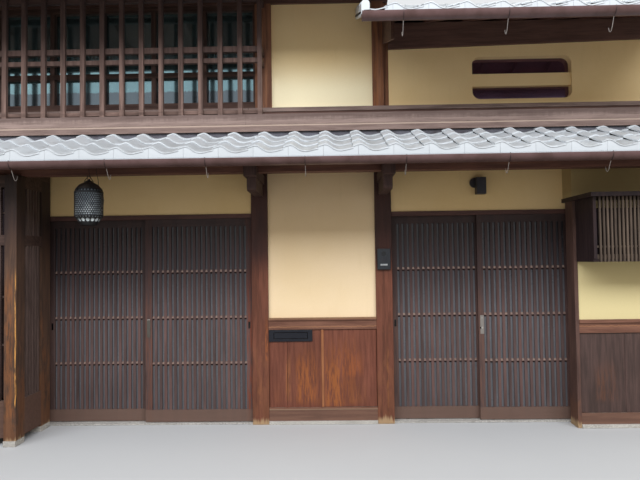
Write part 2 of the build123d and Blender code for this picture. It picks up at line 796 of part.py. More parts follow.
with BuildPart() as upper_middle_plaster:
    piece((upper_post_2[1], upper_post_3[0]), plaster_y, (upper_rail_top, left_plate_bottom))
keep(upper_middle_plaster, "upper_middle_plaster")

upper_right_x = (upper_post_3[1], right_inside)
slit_x = (upper_post_3[1] + slit_left_inset, upper_post_3[1] + slit_left_inset + slit_width)
slit_centre = ((slit_x[0] + slit_x[1]) / 2, slit_bottom + slit_height / 2)
with BuildPart() as upper_right_plaster:
    along_y(plaster_y, [
        (upper_right_x[0], upper_rail_top),
        (upper_right_x[1], upper_rail_top),
        (upper_right_x[1], right_plate_bottom + right_plate_rise),
        (upper_right_x[0], right_plate_bottom),
    ])
    with BuildSketch(Plane.XZ.offset(-plaster_y[0])) as slit:
        with Locations(slit_centre):
            RectangleRounded(slit_width, slit_height, slit_radius)
    extrude(slit.sketch, amount=-wall_thickness, mode=Mode.SUBTRACT)
    piece(slit_x, (plaster_y[0] + slit_bar_setback, plaster_y[1]), (slit_bar_bottom, slit_bar_top))
keep(upper_right_plaster, "upper_right_plaster")

window_x = (left_inside, upper_post_2[0])
window_y = (front + window_setback, front + window_setback + window_frame_depth)
with BuildPart() as upper_window:
    piece(window_x, window_y, (upper_rail_top, left_plate_bottom))
    light_width = (window_x[1] - window_x[0]) / window_lights
    for index in range(window_lights):
        light_left = window_x[0] + index * light_width
        light_x = (light_left + window_stile / 2, light_left + light_width - window_stile / 2)
        piece(light_x, window_y, (window_sill_top, transom_bottom), mode=Mode.SUBTRACT)
        piece(light_x, window_y, (transom_top, window_head_bottom), mode=Mode.SUBTRACT)
keep(upper_window, "upper_window")

lattice_y = (sill_front, sill_front + upper_bar_depth)
lattice_rail_y = (lattice_y[1], lattice_y[1] + upper_lattice_rail_depth)
lattice_right = upper_post_2_x + lattice_overlap
lattice_left = left_end + lattice_left_inset
bar_count = int((lattice_right - lattice_left) // upper_bar_pitch) + 1
last_left = lattice_right - upper_bar_width - (bar_count - 1) * upper_bar_pitch
bar_centres = [last_left + upper_bar_width / 2 + index * upper_bar_pitch for index in range(bar_count)]
arm_y = (lattice_rail_y[1] + seat_gap, front)
with BuildPart() as upper_lattice:
    uprights(bar_centres, upper_bar_width, lattice_y, (sill_beam_top, upper_bar_top))
    for low, high in upper_lattice_rails:
        piece((last_left, lattice_right), lattice_rail_y, (low, high))
        uprights((bar_centres[0], bar_centres[-1]), upper_bar_width, arm_y, (low, high))
keep(upper_lattice, "upper_lattice")

# Wall plates: the right one is a tapered log that rises to the right
plate_y = (front, front + girder_depth)
rear_plate_y = (back - girder_depth, back)
with BuildPart() as wall_plates:
    along_x((left_inside, upper_post_3[1]), [
        (plate_y[0], left_plate_bottom),
        (plate_y[1], left_plate_bottom),
        (plate_y[1], main_z(plate_y[1], left_eave_top, under_roof)),
        (plate_y[0], main_z(plate_y[0], left_eave_top, under_roof)),
    ])
    along_x((left_inside, upper_post_3[1]), [
        (rear_plate_y[0], left_plate_bottom),
        (rear_plate_y[1], left_plate_bottom),
        (rear_plate_y[1], main_z(rear_plate_y[1], left_eave_top, under_roof)),
        (rear_plate_y[0], main_z(rear_plate_y[0], left_eave_top, under_roof)),
    ])
    along_x(upper_right_x, [
        (plate_y[0], right_plate_bottom),
        (plate_y[1], right_plate_bottom),
        (plate_y[1], main_z(plate_y[1], right_eave_top, under_roof)),
        (plate_y[0], main_z(plate_y[0], right_eave_top, under_roof)),
    ])
    along_y((plate_y[0] - plate_cut_margin, plate_y[1] + plate_cut_margin), [
        (upper_right_x[0], right_plate_bottom - plate_cut_margin),
        (upper_right_x[1], right_plate_bottom - plate_cut_margin),
        (upper_right_x[1], right_plate_bottom + right_plate_rise),
        (upper_right_x[0], right_plate_bottom),
    ], mode=Mode.SUBTRACT)
    along_x(upper_right_x, [
        (rear_plate_y[0], right_plate_bottom),
        (rear_plate_y[1], right_plate_bottom),
        (rear_plate_y[1], main_z(rear_plate_y[1], right_eave_top, under_roof)),
        (rear_plate_y[0], main_z(rear_plate_y[0], right_eave_top, under_roof)),
    ])
keep(wall_plates, "wall_plates")

# Party walls at both ends, with the gable outline under the roof boards
with BuildPart() as left_party_wall:
    along_x((left_end, left_inside), [
        (front, 0),
        (back, 0),
        (back, main_z(back, left_eave_top, under_deck)),
        (0, main_z(0, left_eave_top, under_deck)),
        (front, main_z(front, left_eave_top, under_deck)),
    ])
    piece((left_end, left_inside), (bay_post_y[1], front - seat_gap), (0, purlin_bottom))
keep(left_party_wall, "left_party_wall")

with BuildPart() as right_party_wall:
    along_x((right_inside, right_end), [
        (front, 0),
        (back, 0),
        (back, main_z(back, right_eave_top, under_deck)),
        (0, main_z(0, right_eave_top, under_deck)),
        (front, main_z(front, right_eave_top, under_deck)),
    ])
    along_x((right_inside, right_end), [
        (right_face, 0),
        (front - seat_gap, 0),
        (front - seat_gap, pent_z(front - seat_gap, under_deck)),
        (right_face, pent_z(right_face, under_deck)),
    ])
keep(right_party_wall, "right_party_wall")

# Wall that closes the step between the two roofs, above the lower one
step_x = upper_post_3
step_y = (plate_y[1], rear_plate_y[0])
with BuildPart() as step_wall:
    along_x(step_x, [
        (step_y[0], right_plate_bottom),
        (step_y[1], right_plate_bottom),
        (step_y[1], main_z(step_y[1], left_eave_top, under_deck)),
        (0, main_z(0, left_eave_top, under_deck)),
        (step_y[0], main_z(step_y[0], left_eave_top, under_deck)),
    ])
keep(step_wall, "step_wall")

# Rear posts and rear wall, which repeat the storeys of the front
rear_wall_y = (back - plaster_setback - wall_thickness, back - plaster_setback)
rear_window_centres = ((left_inside + post_2_x) / 2, (post_3_x + right_inside) / 2)
rear_window_ranges = []
for centre in rear_window_centres:
    for low in (rear_window_bottom, rear_upper_window_bottom):
        high = min(low + rear_window_size, right_plate_bottom - rear_window_headroom)
        side = rear_window_size / 2
        rear_window_ranges.append(((centre - side, centre + side), (low, high)))
with BuildPart() as rear_posts:
    for post_x in (upper_post_2, upper_post_3):
        piece(post_x, rear_plate_y, (sill_bottom, left_plate_bottom))
keep(rear_posts, "rear_posts")

with BuildPart() as rear_wall:
    rear_spans = ((left_inside, upper_post_2[0], left_plate_bottom),
                  (upper_post_2[1], upper_post_3[0], left_plate_bottom),
                  (upper_post_3[1], right_inside, right_plate_bottom))
    for low, high, top in rear_spans:
        piece((low, high), rear_wall_y, (sill_bottom, top))
    for window_x_range, window_z_range in rear_window_ranges:
        piece(window_x_range, rear_wall_y, window_z_range, mode=Mode.SUBTRACT)
keep(rear_wall, "rear_wall")

rear_bar_y = (rear_wall_y[1] - rear_bar_inset - rear_window_bar, rear_wall_y[1] - rear_bar_inset)
with BuildPart() as rear_windows:
    for window_x_range, window_z_range in rear_window_ranges:
        inner_x = (window_x_range[0] + rear_window_frame, window_x_range[1] - rear_window_frame)
        inner_z = (window_z_range[0] + rear_window_frame, window_z_range[1] - rear_window_frame)
        piece(window_x_range, rear_wall_y, window_z_range)
        piece(inner_x, rear_wall_y, inner_z, mode=Mode.SUBTRACT)
        uprights(spread(inner_x[0], inner_x[1], rear_window_bars), rear_window_bar, rear_bar_y, inner_z)
keep(rear_windows, "rear_windows")

# Window glass: one sheet behind each window of the house
with BuildPart() as window_glass:
    piece(window_x, (window_y[1], window_y[1] + glass_thickness), (upper_rail_top, left_plate_bottom))
    piece((left_inside, bay_post_right[0]), (bay_rail_y[1], bay_rail_y[1] + glass_thickness),
          (bay_skirt_bottom, purlin_bottom))
    piece(box_window_x, (right_plaster_y[1], right_plaster_y[1] + glass_thickness), box_window_z)
    for window_x_range, window_z_range in rear_window_ranges:
        piece(window_x_range, (rear_wall_y[0] - glass_thickness, rear_wall_y[0]), window_z_range)
    piece(slit_x, (plaster_y[1], plaster_y[1] + glass_thickness), (slit_bottom, slit_bottom + slit_height))
keep(window_glass, "window_glass")

# Ridge beams under the two main roofs
with BuildPart() as ridge_beams:
    for beam_x, eave_top in (((left_inside, step_x[0]), left_eave_top),
                             ((step_x[1], right_inside), right_eave_top)):
        half = ridge_beam_width / 2
        along_x(beam_x, [
            (-half, main_z(-half, eave_top, under_roof + ridge_beam_depth)),
            (half, main_z(-half, eave_top, under_roof + ridge_beam_depth)),
            (half, main_z(half, eave_top, under_roof)),
            (0, main_z(0, eave_top, under_roof)),
            (-half, main_z(-half, eave_top, under_roof)),
        ])
keep(ridge_beams, "ridge_beams")


def slope_outline(y_range, eave_top, top_drop, bottom_drop):
    """Outline of a layer of a main roof on one slope, between two drops."""
    low, high = y_range
    return [
        (low, main_z(low, eave_top, bottom_drop)),
        (high, main_z(high, eave_top, bottom_drop)),
        (high, main_z(high, eave_top, top_drop)),
        (low, main_z(low, eave_top, top_drop)),
    ]


half_split = split_gap / 2
front_deck = (main_edge + tile_apron_thickness, -half_split)
rear_deck = (half_split, rear_edge - tile_apron_thickness)
front_batten = (front_deck[0], front_deck[0] + batten_width)
rear_batten = (rear_deck[1] - batten_width, rear_deck[1])
front_rafters = (front_batten[1], front_deck[1])
rear_rafters = (rear_deck[0], rear_batten[0])
front_tiles = (main_edge, -half_split)
rear_tiles = (half_split, rear_edge)


def roof_boards(x, x_clear, eave_top):
    """Fill the part being built with the deck, battens and rafters of both slopes."""
    count = int((x_clear[1] - x_clear[0]) // rafter_pitch)
    starts = [centre - rafter_width / 2 for centre in spread(x_clear[0], x_clear[1], count)]
    for slope in (front_deck, rear_deck):
        along_x(x, slope_outline(slope, eave_top, tile_depth, under_deck))
    for batten in (front_batten, rear_batten):
        along_x(x, slope_outline(batten, eave_top, under_deck, under_batten))
    for slope in (front_rafters, rear_rafters):
        rows_along_x(starts, rafter_width, slope_outline(slope, eave_top, under_deck, under_roof))


def roof_tiles(x, eave_top):
    """Fill the part being built with the tile layer of both slopes and its aprons."""
    for slope in (front_tiles, rear_tiles):
        along_x(x, slope_outline(slope, eave_top, 0, tile_depth))
    for apron in ((front_tiles[0], front_deck[0]), (rear_deck[1], rear_tiles[1])):
        along_x(x, slope_outline(apron, eave_top, tile_depth / 2, tile_depth + tile_apron))


left_roof_x = (left_end, upper_post_3[1] + upper_verge_overhang)
right_roof_x = (step_x[1], right_end)
right_eave_x = (upper_post_3[0] - verge_overhang, step_x[1] - seat_gap)
with BuildPart() as left_roof_boards:
    roof_boards(left_roof_x, (left_inside, step_x[0]), left_eave_top)
keep(left_roof_boards, "left_roof_boards")

with BuildPart() as left_roof_tiles:
    roof_tiles(left_roof_x, left_eave_top)
keep(left_roof_tiles, "left_roof_tiles")

with BuildPart() as right_roof_boards:
    roof_boards(right_roof_x, (step_x[1], right_inside), right_eave_top)
    along_x(right_eave_x, slope_outline((front_deck[0], front), right_eave_top, tile_depth, under_deck))
    along_x(right_eave_x, slope_outline(front_batten, right_eave_top, under_deck, under_batten))
keep(right_roof_boards, "right_roof_boards")

with BuildPart() as right_roof_tiles:
    roof_tiles(right_roof_x, right_eave_top)
    along_x(right_eave_x, slope_outline((front_tiles[0], front), right_eave_top, 0, tile_depth))
    along_x(right_eave_x, slope_outline((front_tiles[0], front_deck[0]), right_eave_top,
                                        tile_depth / 2, tile_depth + tile_apron))
keep(right_roof_tiles, "right_roof_tiles")

# Barge boards: one under each slope of the left roof's verge, which clears the lower ridge, and a short one
verge_x = (left_roof_x[1] - barge_thickness, left_roof_x[1])
short_barge_x = (upper_post_3[1] - barge_inset, upper_post_3[1] - barge_inset + barge_thickness)
short_barge_tip = front - barge_reach
long_barge_drop = roof_step - ridge_height - barge_ridge_gap
with BuildPart() as barge_boards:
    for slope in ((front_batten[1] + seat_gap, front_deck[1]), (rear_deck[0], rear_batten[0] - seat_gap)):
        along_x(verge_x, slope_outline(slope, left_eave_top, under_deck, long_barge_drop))
    along_x(short_barge_x, [
        (short_barge_tip, main_z(short_barge_tip, right_eave_top, under_deck + barge_tip_depth)),
        (front, main_z(front, right_eave_top, under_deck + barge_wall_depth)),
        (front, main_z(front, right_eave_top, under_deck)),
        (short_barge_tip, main_z(short_barge_tip, right_eave_top, under_deck)),
    ])
keep(barge_boards, "barge_boards")

with BuildPart() as roof_ridges:
    for ridge_x, eave_top in (((left_roof_x[0], left_roof_x[1]), left_eave_top),
                              ((step_x[1], right_end), right_eave_top)):
        half = ridge_width / 2
        base = main_z(0, eave_top) + ridge_height
        with BuildSketch(Plane.YZ.offset(ridge_x[0])) as ridge:
            with BuildLine():
                Polyline((-half, base - ridge_shoulder), (-half, main_z(-half, eave_top) + seat_gap),
                         (0, main_z(0, eave_top) + seat_gap), (half, main_z(half, eave_top) + seat_gap),
                         (half, base - ridge_shoulder))
                ThreePointArc((half, base - ridge_shoulder), (0, base), (-half, base - ridge_shoulder))
            make_face()
        extrude(ridge.sketch, amount=ridge_x[1] - ridge_x[0])
keep(roof_ridges, "roof_ridges")

with BuildPart() as upper_gutters:
    gutter(left_roof_x, main_edge, left_eave_top)
    gutter((right_eave_x[0], right_end), main_edge, right_eave_top)
keep(upper_gutters, "upper_gutters")

# Pierced metal lantern that hangs under the pent roof by the first door
lantern_x = opening_1[0] + lantern_inset
lantern_y = front - lantern_reach
hook_height = pent_z(lantern_y - hanger_radius, under_deck) - seat_gap
lantern_rings = ((lantern_foot_radius, lantern_bottom), (lantern_radius, lantern_taper_top),
                 (lantern_radius, lantern_shoulder), *lantern_dome, (lantern_cap_radius, lantern_dome_top))
with BuildPart() as lantern:
    for wall, mode in ((0.0, Mode.ADD), (lantern_wall, Mode.SUBTRACT)):
        rings = [(radius - wall, max(height - wall, lantern_bottom)) for radius, height in lantern_rings]
        for (low_radius, low), (high_radius, high) in zip(rings, rings[1:]):
            flat_inset = (low_radius - high_radius) * cos(pi / lantern_sides)
            lean = degrees(atan(flat_inset / (high - low)))
            with BuildSketch(Plane.XY.offset(low)) as ring:
                RegularPolygon(low_radius, lantern_sides)
            extrude(ring.sketch, amount=high - low, taper=lean, mode=mode)
    hanger_bottom = lantern_dome_top - 2 * hanger_radius
    with Locations((0, 0, (hanger_bottom + hook_height) / 2)):
        Cylinder(hanger_radius, hook_height - hanger_bottom)
lantern.part.position = (lantern_x, lantern_y, 0)
keep(lantern, "lantern")

# Wall lamp over the second door
lamp_x = post_3_x + half_post + lamp_offset
with BuildPart() as wall_lamp:
    with Locations((lamp_x, plaster_y[0] - lamp_base_thickness / 2, lamp_height)):
        Cylinder(lamp_base_radius, lamp_base_thickness, rotation=(90, 0, 0))
    piece((lamp_x, lamp_x + lamp_body_width),
          (plaster_y[0] - lamp_base_thickness - lamp_body_depth, plaster_y[0] - lamp_base_thickness),
          (lamp_height - lamp_body_drop, lamp_height + lamp_body_rise))
keep(wall_lamp, "wall_lamp")

# Intercom on the third post
with BuildPart() as intercom:
    piece((post_3_x - intercom_width / 2, post_3_x + intercom_width / 2),
          (front - intercom_depth, front),
          (intercom_centre_height - intercom_height / 2, intercom_centre_height + intercom_height / 2))
    fillet(intercom.edges().filter_by(Axis.Y), radius=intercom_corner)
    chamfer(intercom.faces().sort_by(Axis.Y)[0].edges(), length=intercom_edge)
keep(intercom, "intercom")
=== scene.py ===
# %% [markdown]
# # A machiya townhouse, dressed for its street portrait
#
# The joiner's model gives this two-storey townhouse its timbers, walls, doors and roofs at their true
# sizes. This script puts on what a visitor sees from the lane: wood grain, clay plaster, smoked roof
# tiles, a pierced lantern. Each step first says what the real thing is, how it could be made in
# Blender, and why it is made this way here.
#
# Everything is in metres. The street front faces -Y, and +Z is up.

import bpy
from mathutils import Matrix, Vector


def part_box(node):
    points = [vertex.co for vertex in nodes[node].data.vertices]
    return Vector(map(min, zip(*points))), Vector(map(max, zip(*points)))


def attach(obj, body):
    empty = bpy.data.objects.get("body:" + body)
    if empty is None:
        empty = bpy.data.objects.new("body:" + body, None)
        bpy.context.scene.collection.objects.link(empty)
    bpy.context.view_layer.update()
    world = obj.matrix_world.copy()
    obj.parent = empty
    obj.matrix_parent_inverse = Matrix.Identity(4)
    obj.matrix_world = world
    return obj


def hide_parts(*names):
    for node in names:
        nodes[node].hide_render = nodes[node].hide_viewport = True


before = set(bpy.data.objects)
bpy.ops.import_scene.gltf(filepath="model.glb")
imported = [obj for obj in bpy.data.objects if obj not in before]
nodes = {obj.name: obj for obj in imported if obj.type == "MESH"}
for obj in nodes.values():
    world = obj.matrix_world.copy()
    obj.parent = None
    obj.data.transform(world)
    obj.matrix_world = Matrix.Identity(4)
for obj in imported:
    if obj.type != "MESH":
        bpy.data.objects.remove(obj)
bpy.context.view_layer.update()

# %% [markdown]
# ## The tools
#
# Python's own math and random work numbers out and vary them, and bpy is Blender itself. `nodes` holds
# the joiner's pieces by name. All that follows is set on them or beside them.

# %% The tools of the lesson
import math
import random

import bpy
from mathutils import Matrix, Vector

print("blender", bpy.app.version_string)

# %% [markdown]
# ## Writing down a colour
#
# A painter names a colour as it looks on a screen, from 0 to 255. Blender's shaders add light, so they
# want linear values. One small function turns the first into the second, and every colour in this
# file goes through it.

# %% Screen colour to linear colour
def linear(channel):
    share = channel / 255
    return share / 12.92 if share <= 0.04045 else ((share + 0.055) / 1.055) ** 2.4


def shade(red, green, blue):
    return (linear(red), linear(green), linear(blue), 1.0)


print("mid grey is", round(shade(128, 128, 128)[0], 3))

# %% [markdown]
# ## Building node trees in code
#
# Materials could be clicked together by hand, but in code each step stays visible. A few short helpers
# are enough: one puts a node in a tree, one joins a value or another node's output to a socket, and the
# rest are the sums, noises and mixes that every material here is made of.

# %% Node helpers
def put(tree, kind, **settings):
    node = tree.nodes.new(kind)
    for name, value in settings.items():
        setattr(node, name, value)
    return node


def join(tree, source, socket):
    if isinstance(source, bpy.types.NodeSocket):
        tree.links.new(source, socket)
    else:
        socket.default_value = source


def sum_of(tree, operation, *values, clamp=False):
    node = put(tree, "ShaderNodeMath", operation=operation, use_clamp=clamp)
    for socket, value in zip(node.inputs, values):
        join(tree, value, socket)
    return node.outputs[0]


def noise(tree, vector, scale, detail=4.0, roughness=0.55, distortion=0.0):
    node = put(tree, "ShaderNodeTexNoise")
    for name, value in (("Vector", vector), ("Scale", scale), ("Detail", detail),
                        ("Roughness", roughness), ("Distortion", distortion)):
        join(tree, value, node.inputs[name])
    return node.outputs["Fac"]


def between(tree, value, low, high):
    node = put(tree, "ShaderNodeMapRange", interpolation_type="SMOOTHSTEP")
    for name, given in (("Value", value), ("From Min", low), ("From Max", high)):
        join(tree, given, node.inputs[name])
    return node.outputs["Result"]


def mix_shades(tree, factor, first, second, way="MIX"):
    node = put(tree, "ShaderNodeMix", data_type="RGBA", blend_type=way)
    for index, value in ((0, factor), (6, first), (7, second)):
        join(tree, value, node.inputs[index])
    return node.outputs[2]


def split(tree, vector):
    node = put(tree, "ShaderNodeSeparateXYZ")
    join(tree, vector, node.inputs[0])
    return node.outputs[0], node.outputs[1], node.outputs[2]


def gather(tree, x, y, z):
    node = put(tree, "ShaderNodeCombineXYZ")
    for socket, value in zip(node.inputs, (x, y, z)):
        join(tree, value, socket)
    return node.outputs[0]


def place(tree):
    return put(tree, "ShaderNodeTexCoord").outputs["Object"]


def facing(tree):
    return put(tree, "ShaderNodeNewGeometry").outputs["Normal"]


print("node helpers ready")

# %% [markdown]
# ## Effects that several materials share
#
# Grain, wear and dust come back in many materials. Copied nodes would soon drift apart, so each effect is
# one node group with named inputs and outputs. The first helper opens a group, and the second places it
# in a material with that material's own values.

# %% A helper for shared effects
def new_effect(name, inputs, outputs):
    tree = bpy.data.node_groups.new(name, "ShaderNodeTree")
    for label, kind, value in inputs:
        socket = tree.interface.new_socket(name=label, in_out="INPUT", socket_type=kind)
        if value is not None:
            socket.default_value = value
    for label, kind in outputs:
        tree.interface.new_socket(name=label, in_out="OUTPUT", socket_type=kind)
    start = put(tree, "NodeGroupInput")
    end = put(tree, "NodeGroupOutput")
    return tree, start.outputs, end.inputs


def use_effect(tree, effect, **values):
    node = put(tree, "ShaderNodeGroup", node_tree=effect)
    for name, value in values.items():
        join(tree, value, node.inputs[name.replace("_", " ")])
    return node.outputs


FLOAT, VECTOR = "NodeSocketFloat", "NodeSocketVector"
print("effect helpers ready")

# %% [markdown]
# ## Wood grain
#
# Every timber of the house is cedar or pine, rubbed with a dark reddish wash and then weathered. Its
# grain runs along the timber: up a post, along a beam. A wood texture could be painted, but stretched
# noise is enough and has no seams: squeezed across the timber, it gives long streaks, finer squeezing
# gives fibres, and unsqueezed noise gives the slow change from board to board. `Lying` turns the grain
# from upright to along the house.

# %% Effect: wood grain
grain, given, wanted = new_effect(
    "Wood grain",
    [("Vector", VECTOR, None), ("Lying", FLOAT, 0.0), ("Squeeze", FLOAT, 14.0)],
    [("Streaks", FLOAT), ("Fibres", FLOAT), ("Clouds", FLOAT)])
along, deep, high = split(grain, given["Vector"])
across = sum_of(grain, "MULTIPLY", along, given["Squeeze"])
upward = sum_of(grain, "MULTIPLY", high, given["Squeeze"])
inward = sum_of(grain, "MULTIPLY", deep, given["Squeeze"])
upright = gather(grain, across, inward, high)
lying = gather(grain, along, inward, upward)
turned = put(grain, "ShaderNodeMix", data_type="VECTOR")
for index, value in ((0, given["Lying"]), (4, upright), (5, lying)):
    join(grain, value, turned.inputs[index])
join(grain, noise(grain, turned.outputs[1], 2.6, 5.0, 0.6, 0.3), wanted["Streaks"])
join(grain, noise(grain, turned.outputs[1], 13.0, 3.0, 0.6), wanted["Fibres"])
join(grain, noise(grain, given["Vector"], 2.3, 3.0, 0.5), wanted["Clouds"])
print("grain outputs", [s.name for s in wanted][:3])

# %% [markdown]
# ## Wear from rain and feet
#
# Low on the front, rain splashes and passing bags rub the dark wash away, so bare orange wood shows in
# ragged patches. The effect takes a height and a noise, and gives a mask that is full at `Low`, gone at
# `High`, and torn in between by the noise.

# %% Effect: worn low down
worn_low, given, wanted = new_effect(
    "Worn low down",
    [("Vector", VECTOR, None), ("Low", FLOAT, 0.0), ("High", FLOAT, 1.2), ("Patch", FLOAT, 5.0)],
    [("Mask", FLOAT)])
along, deep, high = split(worn_low, given["Vector"])
fall = sum_of(worn_low, "SUBTRACT", 1.0, between(worn_low, high, given["Low"], given["High"]))
stretched = gather(worn_low, sum_of(worn_low, "MULTIPLY", along, 3.0), sum_of(worn_low, "MULTIPLY", deep, 3.0), high)
torn = noise(worn_low, stretched, given["Patch"], 6.0, 0.65, 0.4)
level = sum_of(worn_low, "ADD", torn, sum_of(worn_low, "MULTIPLY", fall, 0.30))
join(worn_low, between(worn_low, level, 0.66, 0.80), wanted["Mask"])
print("wear outputs", [s.name for s in wanted][:1])

# %% [markdown]
# ## Stripes and bands
#
# Some wear has its own place: a hand rubs one edge of a post, a cap's edge bleaches, a post's foot frays.
# A painted mask would need an image. Two small effects do it with numbers: one marks a ragged upright
# stripe at a given X, the other a ragged band between two heights.

# %% Effect: worn stripe
stripe, given, wanted = new_effect(
    "Worn stripe",
    [("Vector", VECTOR, None), ("Middle", FLOAT, 0.0), ("Half width", FLOAT, 0.01), ("Low", FLOAT, 0.0),
     ("High", FLOAT, 1.0), ("Back", FLOAT, 100.0), ("Scratch", FLOAT, 4.0)],
    [("Mask", FLOAT)])
along, deep, high = split(stripe, given["Vector"])
drift = sum_of(stripe, "MULTIPLY_ADD", noise(stripe, given["Vector"], 4.0, 2.0), 0.016, -0.008)
apart = sum_of(stripe, "ABSOLUTE", sum_of(stripe, "SUBTRACT", sum_of(stripe, "ADD", along, drift), given["Middle"]))
outward = sum_of(stripe, "DIVIDE", apart, given["Half width"])
inside = sum_of(stripe, "SUBTRACT", 1.0, between(stripe, outward, 0.45, 1.0))
fibres = gather(stripe, sum_of(stripe, "MULTIPLY", along, 60.0), sum_of(stripe, "MULTIPLY", deep, 20.0),
                sum_of(stripe, "MULTIPLY", high, given["Scratch"]))
torn = between(stripe, noise(stripe, fibres, 1.2, 6.0, 0.7), 0.40, 0.58)
rising = between(stripe, high, given["Low"], sum_of(stripe, "ADD", given["Low"], 0.05))
fading = between(stripe, high, sum_of(stripe, "SUBTRACT", given["High"], 0.25), given["High"])
tall = sum_of(stripe, "MULTIPLY", rising, sum_of(stripe, "SUBTRACT", 1.0, fading))
near = sum_of(stripe, "LESS_THAN", deep, given["Back"])
across_mask = sum_of(stripe, "MULTIPLY", inside, torn)
join(stripe, sum_of(stripe, "MULTIPLY", across_mask, sum_of(stripe, "MULTIPLY", tall, near)), wanted["Mask"])
print("stripe outputs", [s.name for s in wanted][:1])

# %% Effect: band of height
band, given, wanted = new_effect(
    "Band of height",
    [("Vector", VECTOR, None), ("Low", FLOAT, 0.0), ("High", FLOAT, 1.0), ("Soft", FLOAT, 0.004),
     ("Ragged", FLOAT, 0.0)],
    [("Mask", FLOAT)])
along, deep, high = split(band, given["Vector"])
fibres = gather(band, sum_of(band, "MULTIPLY", along, 22.0), sum_of(band, "MULTIPLY", deep, 22.0), high)
shift = sum_of(band, "MULTIPLY", sum_of(band, "SUBTRACT", noise(band, fibres, 2.0, 4.0, 0.6), 0.5), given["Ragged"])
high = sum_of(band, "ADD", high, shift)
above = between(band, high, sum_of(band, "SUBTRACT", given["Low"], given["Soft"]), given["Low"])
past = between(band, high, given["High"], sum_of(band, "ADD", given["High"], given["Soft"]))
join(band, sum_of(band, "MULTIPLY", above, sum_of(band, "SUBTRACT", 1.0, past)), wanted["Mask"])
print("band outputs", [s.name for s in wanted][:1])

# %% [markdown]
# ## Dust on ledges
#
# Dust and bleaching show on faces that look up: tops of rails, sills and bars. The normal's Z says how
# far a face looks up, and a noise breaks the edge of the dust.

# %% Effect: dust on ledges
dust, given, wanted = new_effect(
    "Dust on ledges",
    [("Vector", VECTOR, None), ("Normal", VECTOR, None), ("Amount", FLOAT, 0.6)],
    [("Mask", FLOAT)])
skyward = split(dust, given["Normal"])[2]
ledge = between(dust, skyward, 0.25, 0.8)
ragged = between(dust, noise(dust, given["Vector"], 14.0, 4.0, 0.6), 0.30, 0.62)
join(dust, sum_of(dust, "MULTIPLY", sum_of(dust, "MULTIPLY", ledge, ragged), given["Amount"]), wanted["Mask"])
print("dust outputs", [s.name for s in wanted][:1])

# %% [markdown]
# ## Mottle and speckle
#
# Clay plaster, stone and fired tile are never one flat tone. Three noises of different size are shared
# by them: slow clouds, grain like sand, and faint runs where water came down.

# %% Effect: mottle
mottle, given, wanted = new_effect(
    "Mottle",
    [("Vector", VECTOR, None), ("Cloud size", FLOAT, 1.6), ("Sand size", FLOAT, 160.0)],
    [("Clouds", FLOAT), ("Sand", FLOAT), ("Runs", FLOAT)])
along, deep, high = split(mottle, given["Vector"])
runs = gather(mottle, sum_of(mottle, "MULTIPLY", along, 9.0), sum_of(mottle, "MULTIPLY", deep, 9.0), high)
join(mottle, noise(mottle, given["Vector"], given["Cloud size"], 5.0, 0.6), wanted["Clouds"])
join(mottle, noise(mottle, given["Vector"], given["Sand size"], 2.0, 0.7), wanted["Sand"])
join(mottle, noise(mottle, runs, 1.3, 4.0, 0.6), wanted["Runs"])
print("mottle outputs", [s.name for s in wanted][:3])

# %% [markdown]
# ## A tone of its own for each bar
#
# Lattice bars are cut from different sticks, so neighbours differ in tone. The bars of one lattice are
# a single mesh, so the tone comes from where a point lies: its X divided by the bar pitch gives the
# bar's number, and white noise turns the number into a tone.

# %% Effect: tone of each bar
bar_tone, given, wanted = new_effect(
    "Tone of each bar",
    [("Vector", VECTOR, None), ("First", FLOAT, 0.0), ("Pitch", FLOAT, 0.1)],
    [("Tone", FLOAT)])
along, deep, high = split(bar_tone, given["Vector"])
number = sum_of(bar_tone, "FLOOR", sum_of(
    bar_tone, "DIVIDE", sum_of(bar_tone, "SUBTRACT", along, given["First"]), given["Pitch"]))
chance = put(bar_tone, "ShaderNodeTexWhiteNoise", noise_dimensions="1D")
join(bar_tone, number, chance.inputs["W"])
join(bar_tone, chance.outputs["Value"], wanted["Tone"])
print("tone outputs", [s.name for s in wanted][:1])

# %% [markdown]
# ## Timber
#
# One recipe serves all the timbers, because they are the same wood under the same wash. It darkens the
# streaks, bleaches the clouds, shows bare wood where the wash is gone, and lays dust on the ledges. Each
# timber then gets its own two tones, its own wear and its own bar pitch.

# %% Timber recipe
BARE_WOOD = (150, 100, 68)
LEDGE_DUST = (150, 138, 126)
WARM_STICK = (112, 62, 46)


def start_material(name):
    material = bpy.data.materials.new(name)
    material.use_nodes = True
    material.node_tree.nodes.clear()
    shader = put(material.node_tree, "ShaderNodeBsdfPrincipled")
    output = put(material.node_tree, "ShaderNodeOutputMaterial")
    join(material.node_tree, shader.outputs[0], output.inputs["Surface"])
    return material, material.node_tree, shader


def set_bump(tree, shader, height, strength, distance):
    bump = put(tree, "ShaderNodeBump")
    for name, value in (("Height", height), ("Strength", strength), ("Distance", distance)):
        join(tree, value, bump.inputs[name])
    join(tree, bump.outputs[0], shader.inputs["Normal"])


